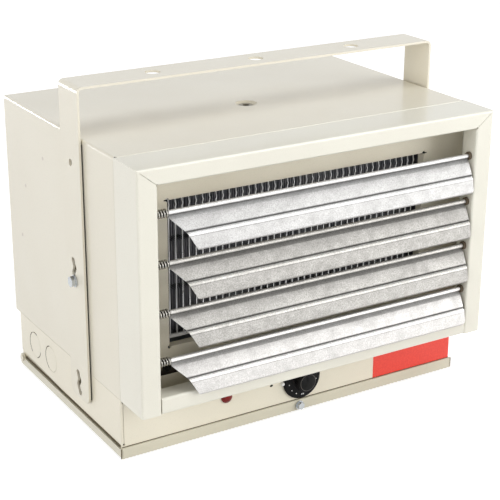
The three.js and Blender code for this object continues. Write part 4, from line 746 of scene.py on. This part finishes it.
# Sizes of the dark strips that paint the shade in the gaps between the base and the door.
DOOR_SHADE_THICK = 0.42
DOOR_SHADE_FRONT_HALF = 183.6
DOOR_SHADE_FRONT_Z, DOOR_SHADE_SIDE_Z = (10.6, 11.0), (10.6, 12.3)
DOOR_SHADE_SIDE_Y = (BASE_FRONT_Y + 2.0, 140.0)
SEAM_X, SEAM_Y, SEAM_Z = (184.9, 185.56), (-79.36, -78.7), (0.4, 10.3)


def door_gap_shades():
    """Dark strip of painted shade in the gap over the door's lip, and dark seams of painted shade
    at the door's front corners.
    """
    bm = bmesh.new()
    add_box(bm, (-DOOR_SHADE_FRONT_HALF, DOOR_SHADE_FRONT_HALF),
            (BASE_FRONT_Y - DOOR_SHADE_THICK, BASE_FRONT_Y - LIFT), DOOR_SHADE_FRONT_Z)
    for side in SIDES:
        add_box(bm, mirrored(side, HALF + LIFT, HALF + DOOR_SHADE_THICK), DOOR_SHADE_SIDE_Y, DOOR_SHADE_SIDE_Z)
    new_piece("door_gap_shade", mesh_from("gap_shade", bm), DOOR_GAP_SHADE, "cabinet")
    bm = bmesh.new()
    for side in SIDES:
        add_box(bm, mirrored(side, *SEAM_X), SEAM_Y, SEAM_Z)
    new_piece("door_corner_seams", mesh_from("seams", bm), DOOR_GAP_SHADE, "door")


SLIT_X, SLIT_Z, SLIT_THICK = (136.0, 139.4), (233.7, 234.7), 0.16
FOOT_HALF, FOOT_Z, FOOT_THICK = 164.8, (72.6, 86.0), 0.2


def panel_marks():
    """The slits at the outlet's upper corners as dark films of painted shade, and painted shade at
    the foot of the panel.
    """
    bm = bmesh.new()
    for side in SIDES:
        add_box(bm, mirrored(side, *SLIT_X), (PANEL_Y - SLIT_THICK, PANEL_Y - LIFT), SLIT_Z)
    new_piece("outlet_corner_slits", mesh_from("slits", bm), HOLE_SHADE, "cabinet")
    bm = bmesh.new()
    add_box(bm, (-FOOT_HALF, FOOT_HALF), (PANEL_Y - FOOT_THICK, PANEL_Y - LIFT), FOOT_Z)
    new_piece("panel_foot", mesh_from("foot", bm), FOOT_SHADE_ENAMEL, "cabinet")


DIAL_SLOT_CENTRE = (-28.3, 31.9)
DIAL_SLOT_HALF, DIAL_SLOT_SLANT = (1.7, 1.05), 0.3


def dial_slot():
    """The small slanted slot beside the dial, as a dark film of painted shade."""
    outline = []
    for k in range(24):
        angle = 2 * math.pi * k / 24
        outline.append((DIAL_SLOT_CENTRE[0] + DIAL_SLOT_HALF[0] * math.cos(angle)
                        + DIAL_SLOT_SLANT * math.sin(angle),
                        DIAL_SLOT_CENTRE[1] + DIAL_SLOT_HALF[1] * math.sin(angle)))
    bm = bmesh.new()
    outline_prism(bm, "Y", outline, BASE_FRONT_Y - 0.12, BASE_FRONT_Y - LIFT)
    new_piece("dial_slot", mesh_from("dial_slot", bm), HOLE_SHADE, "cabinet")


PEG_OFFSET = (-21.3, -0.8)
PEG_PROFILE = [(0, BASE_FRONT_Y), (1.7, BASE_FRONT_Y), (1.7, -80.2), (1.3, -80.7), (0, -80.7)]


def stop_peg():
    """The pale moulded peg beside the dial."""
    bm = bmesh.new()
    turned(bm, "Y", PEG_PROFILE, (KNOB[0] + PEG_OFFSET[0], KNOB[1] + PEG_OFFSET[1]), 28)
    new_piece("stop_peg", mesh_from("peg", bm), MARK_WHITE, "cabinet")


# ---- inside the yoke ----------------------------------------------------------------------------

YOKE_SHADE_X, YOKE_SHADE_Y, YOKE_SHADE_Z = (184.75, 185.58), (-18.7, -15.5), (32.0, 274.0)
PAD_X, PAD_MIDDLE_Y, PAD_HALF_Y = (185.0, 185.56), 1.5, 6.5
PAD_RANGES = ((28.0, 56.5), (153.0, 167.5))
PAD_STEPS = 32


def yoke_gap_shades():
    """Thin dark strips of painted shade in the gap along the front edges inside the yoke's legs.
    """
    bm = bmesh.new()
    for side in SIDES:
        add_box(bm, mirrored(side, *YOKE_SHADE_X), YOKE_SHADE_Y, YOKE_SHADE_Z)
    new_piece("yoke_gap_shades", mesh_from("gap_strips", bm), RUBBER_AND_GAP_SHADE, "yoke")


def slot_shade_pads():
    """Dark pads of painted shade inside the yoke's legs behind the wavy slots, clear of the pivot
    bolts.
    """
    def squared(value):
        """Rounds a circle's coordinate out towards a square's."""
        return math.copysign(math.sqrt(abs(value)), value)

    bm = bmesh.new()
    for low, high in PAD_RANGES:
        outline = []
        for k in range(PAD_STEPS):
            angle = 2 * math.pi * k / PAD_STEPS
            outline.append((PAD_MIDDLE_Y + PAD_HALF_Y * squared(math.cos(angle)),
                            (low + high) / 2 + (high - low) / 2 * squared(math.sin(angle))))
        for side in SIDES:
            outline_prism(bm, "X", outline, *mirrored(side, *PAD_X))
    new_piece("slot_shade_pads", mesh_from("pads", bm), SLOT_PAD_SHADE, "yoke")


# ---- small hardware -----------------------------------------------------------------------------

GROMMET_CENTRE = (-139.5, 79.6)
GROMMET_PROFILE = [(0, PANEL_Y), (4.4, PANEL_Y), (4.4, PANEL_Y - 0.7), (3.8, PANEL_Y - 1.2),
                   (2.9, PANEL_Y - 1.0), (2.4, PANEL_Y - 0.3), (0, PANEL_Y - 0.2)]
CLIP_PROFILE = [(4.5, PANEL_Y), (5.3, PANEL_Y), (5.3, PANEL_Y - 1.3), (4.5, PANEL_Y - 1.3),
                (4.5, PANEL_Y)]


def grommet():
    """Rubber grommet at the panel's foot, under a bent steel clip."""
    bm = bmesh.new()
    turned(bm, "Y", GROMMET_PROFILE, GROMMET_CENTRE, 28)
    new_piece("panel_grommet", mesh_from("grommet", bm), RUBBER_AND_GAP_SHADE, "cabinet")
    bm = bmesh.new()
    turned(bm, "Y", CLIP_PROFILE, GROMMET_CENTRE, 20, start=20.0, end=160.0)
    new_piece("grommet_clip", mesh_from("clip", bm), CLIP, "cabinet")


KNOCKOUT_ARCS = [[(-52, 62), (76, 112), (196, 252)], [(-64, 74)]]
ARC_PROFILE = [(12.5, -HALF + 0.05), (13.4, -HALF + 0.05), (13.4, -HALF - 0.04),
               (12.5, -HALF - 0.04), (12.5, -HALF + 0.05)]


def knockout_slots():
    """The punched slots that leave a knockout hanging by its ties, drawn as thin dark strips of
    painted shadow.
    """
    for number, (centre, arcs) in enumerate(zip(KNOCKOUTS, KNOCKOUT_ARCS), 1):
        bm = bmesh.new()
        for start, end in arcs:
            turned(bm, "X", ARC_PROFILE, centre, 24, start, end)
        new_piece(f"knockout_slot_{number}", mesh_from("slots", bm), KNOCKOUT_SHADOW, "cabinet")


SPOT_CENTRES = [(70.4, 238.3), (115.5, 199.8), (130.4, 145.8)]
SPOT_PROFILE = [(1.9, -HALF + 0.02), (1.7, -HALF - 0.10), (1.3, -HALF - 0.14),
                (0.9, -HALF - 0.05), (0, -HALF - 0.03)]


def spot_marks():
    """Faint rounds left by spot welds on the side."""
    for number, centre in enumerate(SPOT_CENTRES, 1):
        bm = bmesh.new()
        turned(bm, "X", SPOT_PROFILE, centre, 24)
        new_piece(f"spot_mark_{number}", mesh_from("spot", bm), SPOT, "cabinet")


HEM_Y = BASE_FRONT_Y - 0.3
HEM_OUTLINE = [(HEM_Y - 0.5, TOP_Z - 0.05), (HEM_Y - 0.42, TOP_Z + 0.22),
               (HEM_Y - 0.2, TOP_Z + 0.32), (HEM_Y, TOP_Z + 0.22), (HEM_Y + 0.05, TOP_Z - 0.05)]
HEM_INSET, RELIEF_INSET = 2.2, 2.4
RELIEF_PROFILE = [(0, TOP_Z - 0.3), (1.2, TOP_Z - 0.3), (1.2, TOP_Z + 0.05), (0, TOP_Z + 0.05)]


def seam_trim():
    """The frame's turned rear edge over the top, and the corner reliefs at its ends as dark studs
    of painted shade.
    """
    bm = bmesh.new()
    outline_prism(bm, "X", HEM_OUTLINE, -HALF + HEM_INSET, HALF - HEM_INSET)
    new_piece("frame_rear_hem", mesh_from("hem", bm), FRAME, "cabinet")
    bm = bmesh.new()
    for side in SIDES:
        turned(bm, "Z", RELIEF_PROFILE, (side * (HALF - RELIEF_INSET), HEM_Y + 0.3), 16)
    new_piece("corner_reliefs", mesh_from("reliefs", bm), HOLE_SHADE, "cabinet")


FLANGE_PROFILE = [(3.3, DISH_FLOOR_Z - 1.4), (3.3, DISH_FLOOR_Z + 0.5), (3.7, DISH_FLOOR_Z + 0.9),
                  (6.4, DISH_FLOOR_Z + 0.9), (7.0, DISH_FLOOR_Z + 0.5), (7.0, DISH_FLOOR_Z + LIFT),
                  (4.1, DISH_FLOOR_Z + LIFT), (4.1, DISH_FLOOR_Z - 1.4),
                  (3.3, DISH_FLOOR_Z - 1.4)]


def insert_flange():
    """The clinched flange of the top insert, seen in its stamped dish."""
    bm = bmesh.new()
    turned(bm, "Z", FLANGE_PROFILE, DISH_CENTRE, 40)
    new_piece("insert_flange", mesh_from("flange", bm), INSERT, "cabinet")


SCREW_X, SCREW_Z = 178.5, (80, 168, 256)
TOP_SCREW_X, TOP_SCREW_Z = 90, 272.5
WASHER_PROFILE = [(3.9, SHELL_REAR_Y + LIFT), (3.9, SHELL_REAR_Y + 0.4),
                  (3.5, SHELL_REAR_Y + 0.6), (0, SHELL_REAR_Y + 0.62)]
HEAD_PROFILE = [(2.9, SHELL_REAR_Y + 0.5), (2.9, SHELL_REAR_Y + 1.1), (2.6, SHELL_REAR_Y + 1.3),
                (0, SHELL_REAR_Y + 1.3)]


def rear_screws():
    """Hex washer screws round the rear edge of the cabinet."""
    centres = [(side * SCREW_X, z) for side in SIDES for z in SCREW_Z]
    centres += [(side * TOP_SCREW_X, TOP_SCREW_Z) for side in SIDES]
    bm = bmesh.new()
    for centre in centres:
        turned(bm, "Y", WASHER_PROFILE, centre, 24)
        turned(bm, "Y", HEAD_PROFILE, centre, 6)
    new_piece("rear_screws", mesh_from("screws", bm), ZINC, "cabinet", smooth=30.0)


for number, z in enumerate(LOUVRE_Z, 1):
    spring(number, z)
guard()
for number, z in enumerate(ELEMENT_Z, 1):
    element(number, z)
for build in (dial_marks, hub_cap, red_patch, bushings, pin_shade_sleeves, door_gap_shades, panel_marks,
              dial_slot, stop_peg, yoke_gap_shades, slot_shade_pads, grommet, knockout_slots, spot_marks,
              seam_trim, insert_flange, rear_screws):
    build()

# ---- camera -------------------------------------------------------------------------------------

CAMERA_PLACE = (-0.6462, -1.0507, 0.6055)
AZIMUTH, ELEVATION, ROLL = (math.radians(angle) for angle in (-31.39, 20.81, 0.30))

camera = bpy.data.objects.new("camera", bpy.data.cameras.new("camera"))
bpy.context.scene.collection.objects.link(camera)
camera.data.lens = 98.8
camera.data.sensor_width = 36.0
camera.data.clip_start = 0.05
back = Vector((math.sin(AZIMUTH) * math.cos(ELEVATION), -math.cos(AZIMUTH) * math.cos(ELEVATION),
               math.sin(ELEVATION)))
camera.rotation_mode = "QUATERNION"
camera.rotation_quaternion = (back.to_track_quat("Z", "Y").to_matrix()
                              @ Matrix.Rotation(ROLL, 3, "Z")).to_quaternion()
camera.location = CAMERA_PLACE
bpy.context.scene.camera = camera

# ---- lamps --------------------------------------------------------------------------------------

LAMP_TARGET = (0.0, 0.0, 0.15)


def lamp(name, place, size, power, colour=(1.0, 1.0, 1.0)):
    """A soft rectangular lamp turned towards the middle of the part."""
    data = bpy.data.lights.new(name, "AREA")
    data.shape = "RECTANGLE"
    data.size, data.size_y = size
    data.energy = power
    data.color = colour
    light = bpy.data.objects.new(name, data)
    bpy.context.scene.collection.objects.link(light)
    light.location = place
    light.rotation_mode = "QUATERNION"
    light.rotation_quaternion = (Vector(place) - Vector(LAMP_TARGET)).to_track_quat("Z", "Y")


lamp("key", place=(1.75, -1.9, 0.7), size=(1.8, 1.4), power=38.0)
lamp("left_fill", place=(-2.1, -0.6, 0.9), size=(1.5, 1.3), power=20.1)
lamp("front_fill", place=(-0.9, -2.2, 0.4), size=(1.3, 1.0), power=5.0)
lamp("rear_fill", place=(-0.5, 2.5, 0.2), size=(1.8, 0.3), power=21.0)
lamp("top", place=(0.6, -0.6, 2.0), size=(1.5, 0.9), power=11.0, colour=(0.96, 1.0, 1.03))

# ---- floor and surroundings ---------------------------------------------------------------------

FLOOR_REACH = 9000
FLOOR_Z = (-3.0, -1.0)
FLOOR_LIFT = 0.68            # brings the seen floor to white, less its shadows
ROOM_LEVEL, SEEN_LEVEL = 0.42, 1.0
WHITE = (1.0, 1.0, 1.0, 1.0)


def seen_rays(tree):
    """1 for camera, glossy and transmission rays, 0 for light that bounces about."""
    path = tree.nodes.new("ShaderNodeLightPath")
    total = path.outputs["Is Camera Ray"]
    for name in ("Is Glossy Ray", "Is Transmission Ray"):
        both = tree.nodes.new("ShaderNodeMath")
        both.operation = "MAXIMUM"
        tree.links.new(total, both.inputs[0])
        tree.links.new(path.outputs[name], both.inputs[1])
        total = both.outputs[0]
    return total


def floor_material():
    """Matt pale floor that is lifted to white where it is seen, less its shadows."""
    m = Nodes("floor_white")
    grain = m.noise(scale=30.0, detail=3.0)
    m.set(colour=m.mix(m.span(grain, low=0.0, high=1.0), grey(0.60), grey(0.62)),
          rough=0.9, specular=0.0)
    lift = m.add("ShaderNodeEmission")
    m.link(m.math("MULTIPLY", seen_rays(m.tree), FLOOR_LIFT), lift.inputs["Strength"])
    both = m.add("ShaderNodeAddShader")
    m.link(m.shader.outputs[0], both.inputs[0])
    m.link(lift.outputs[0], both.inputs[1])
    m.link(both.outputs[0], m.out.inputs[0])
    return m.material


def studio_world():
    """Plain white surroundings: full where they are seen, weaker as light on the part."""
    world = bpy.data.worlds.new("studio")
    world.use_nodes = True
    tree = world.node_tree
    tree.nodes.clear()
    output = tree.nodes.new("ShaderNodeOutputWorld")
    pick = tree.nodes.new("ShaderNodeMixShader")
    tree.links.new(seen_rays(tree), pick.inputs[0])
    for socket, level in ((pick.inputs[1], ROOM_LEVEL), (pick.inputs[2], SEEN_LEVEL)):
        background = tree.nodes.new("ShaderNodeBackground")
        background.inputs[0].default_value = WHITE
        background.inputs[1].default_value = level
        tree.links.new(background.outputs[0], socket)
    tree.links.new(pick.outputs[0], output.inputs[0])
    return world


bm = bmesh.new()
add_box(bm, (-FLOOR_REACH, FLOOR_REACH), (-FLOOR_REACH, FLOOR_REACH), FLOOR_Z)
floor = bpy.data.objects.new("floor", mesh_from("floor", bm))
bpy.context.scene.collection.objects.link(floor)
floor.data.materials.append(floor_material())
bpy.context.scene.world = studio_world()
bpy.context.scene.view_settings.view_transform = "Standard"
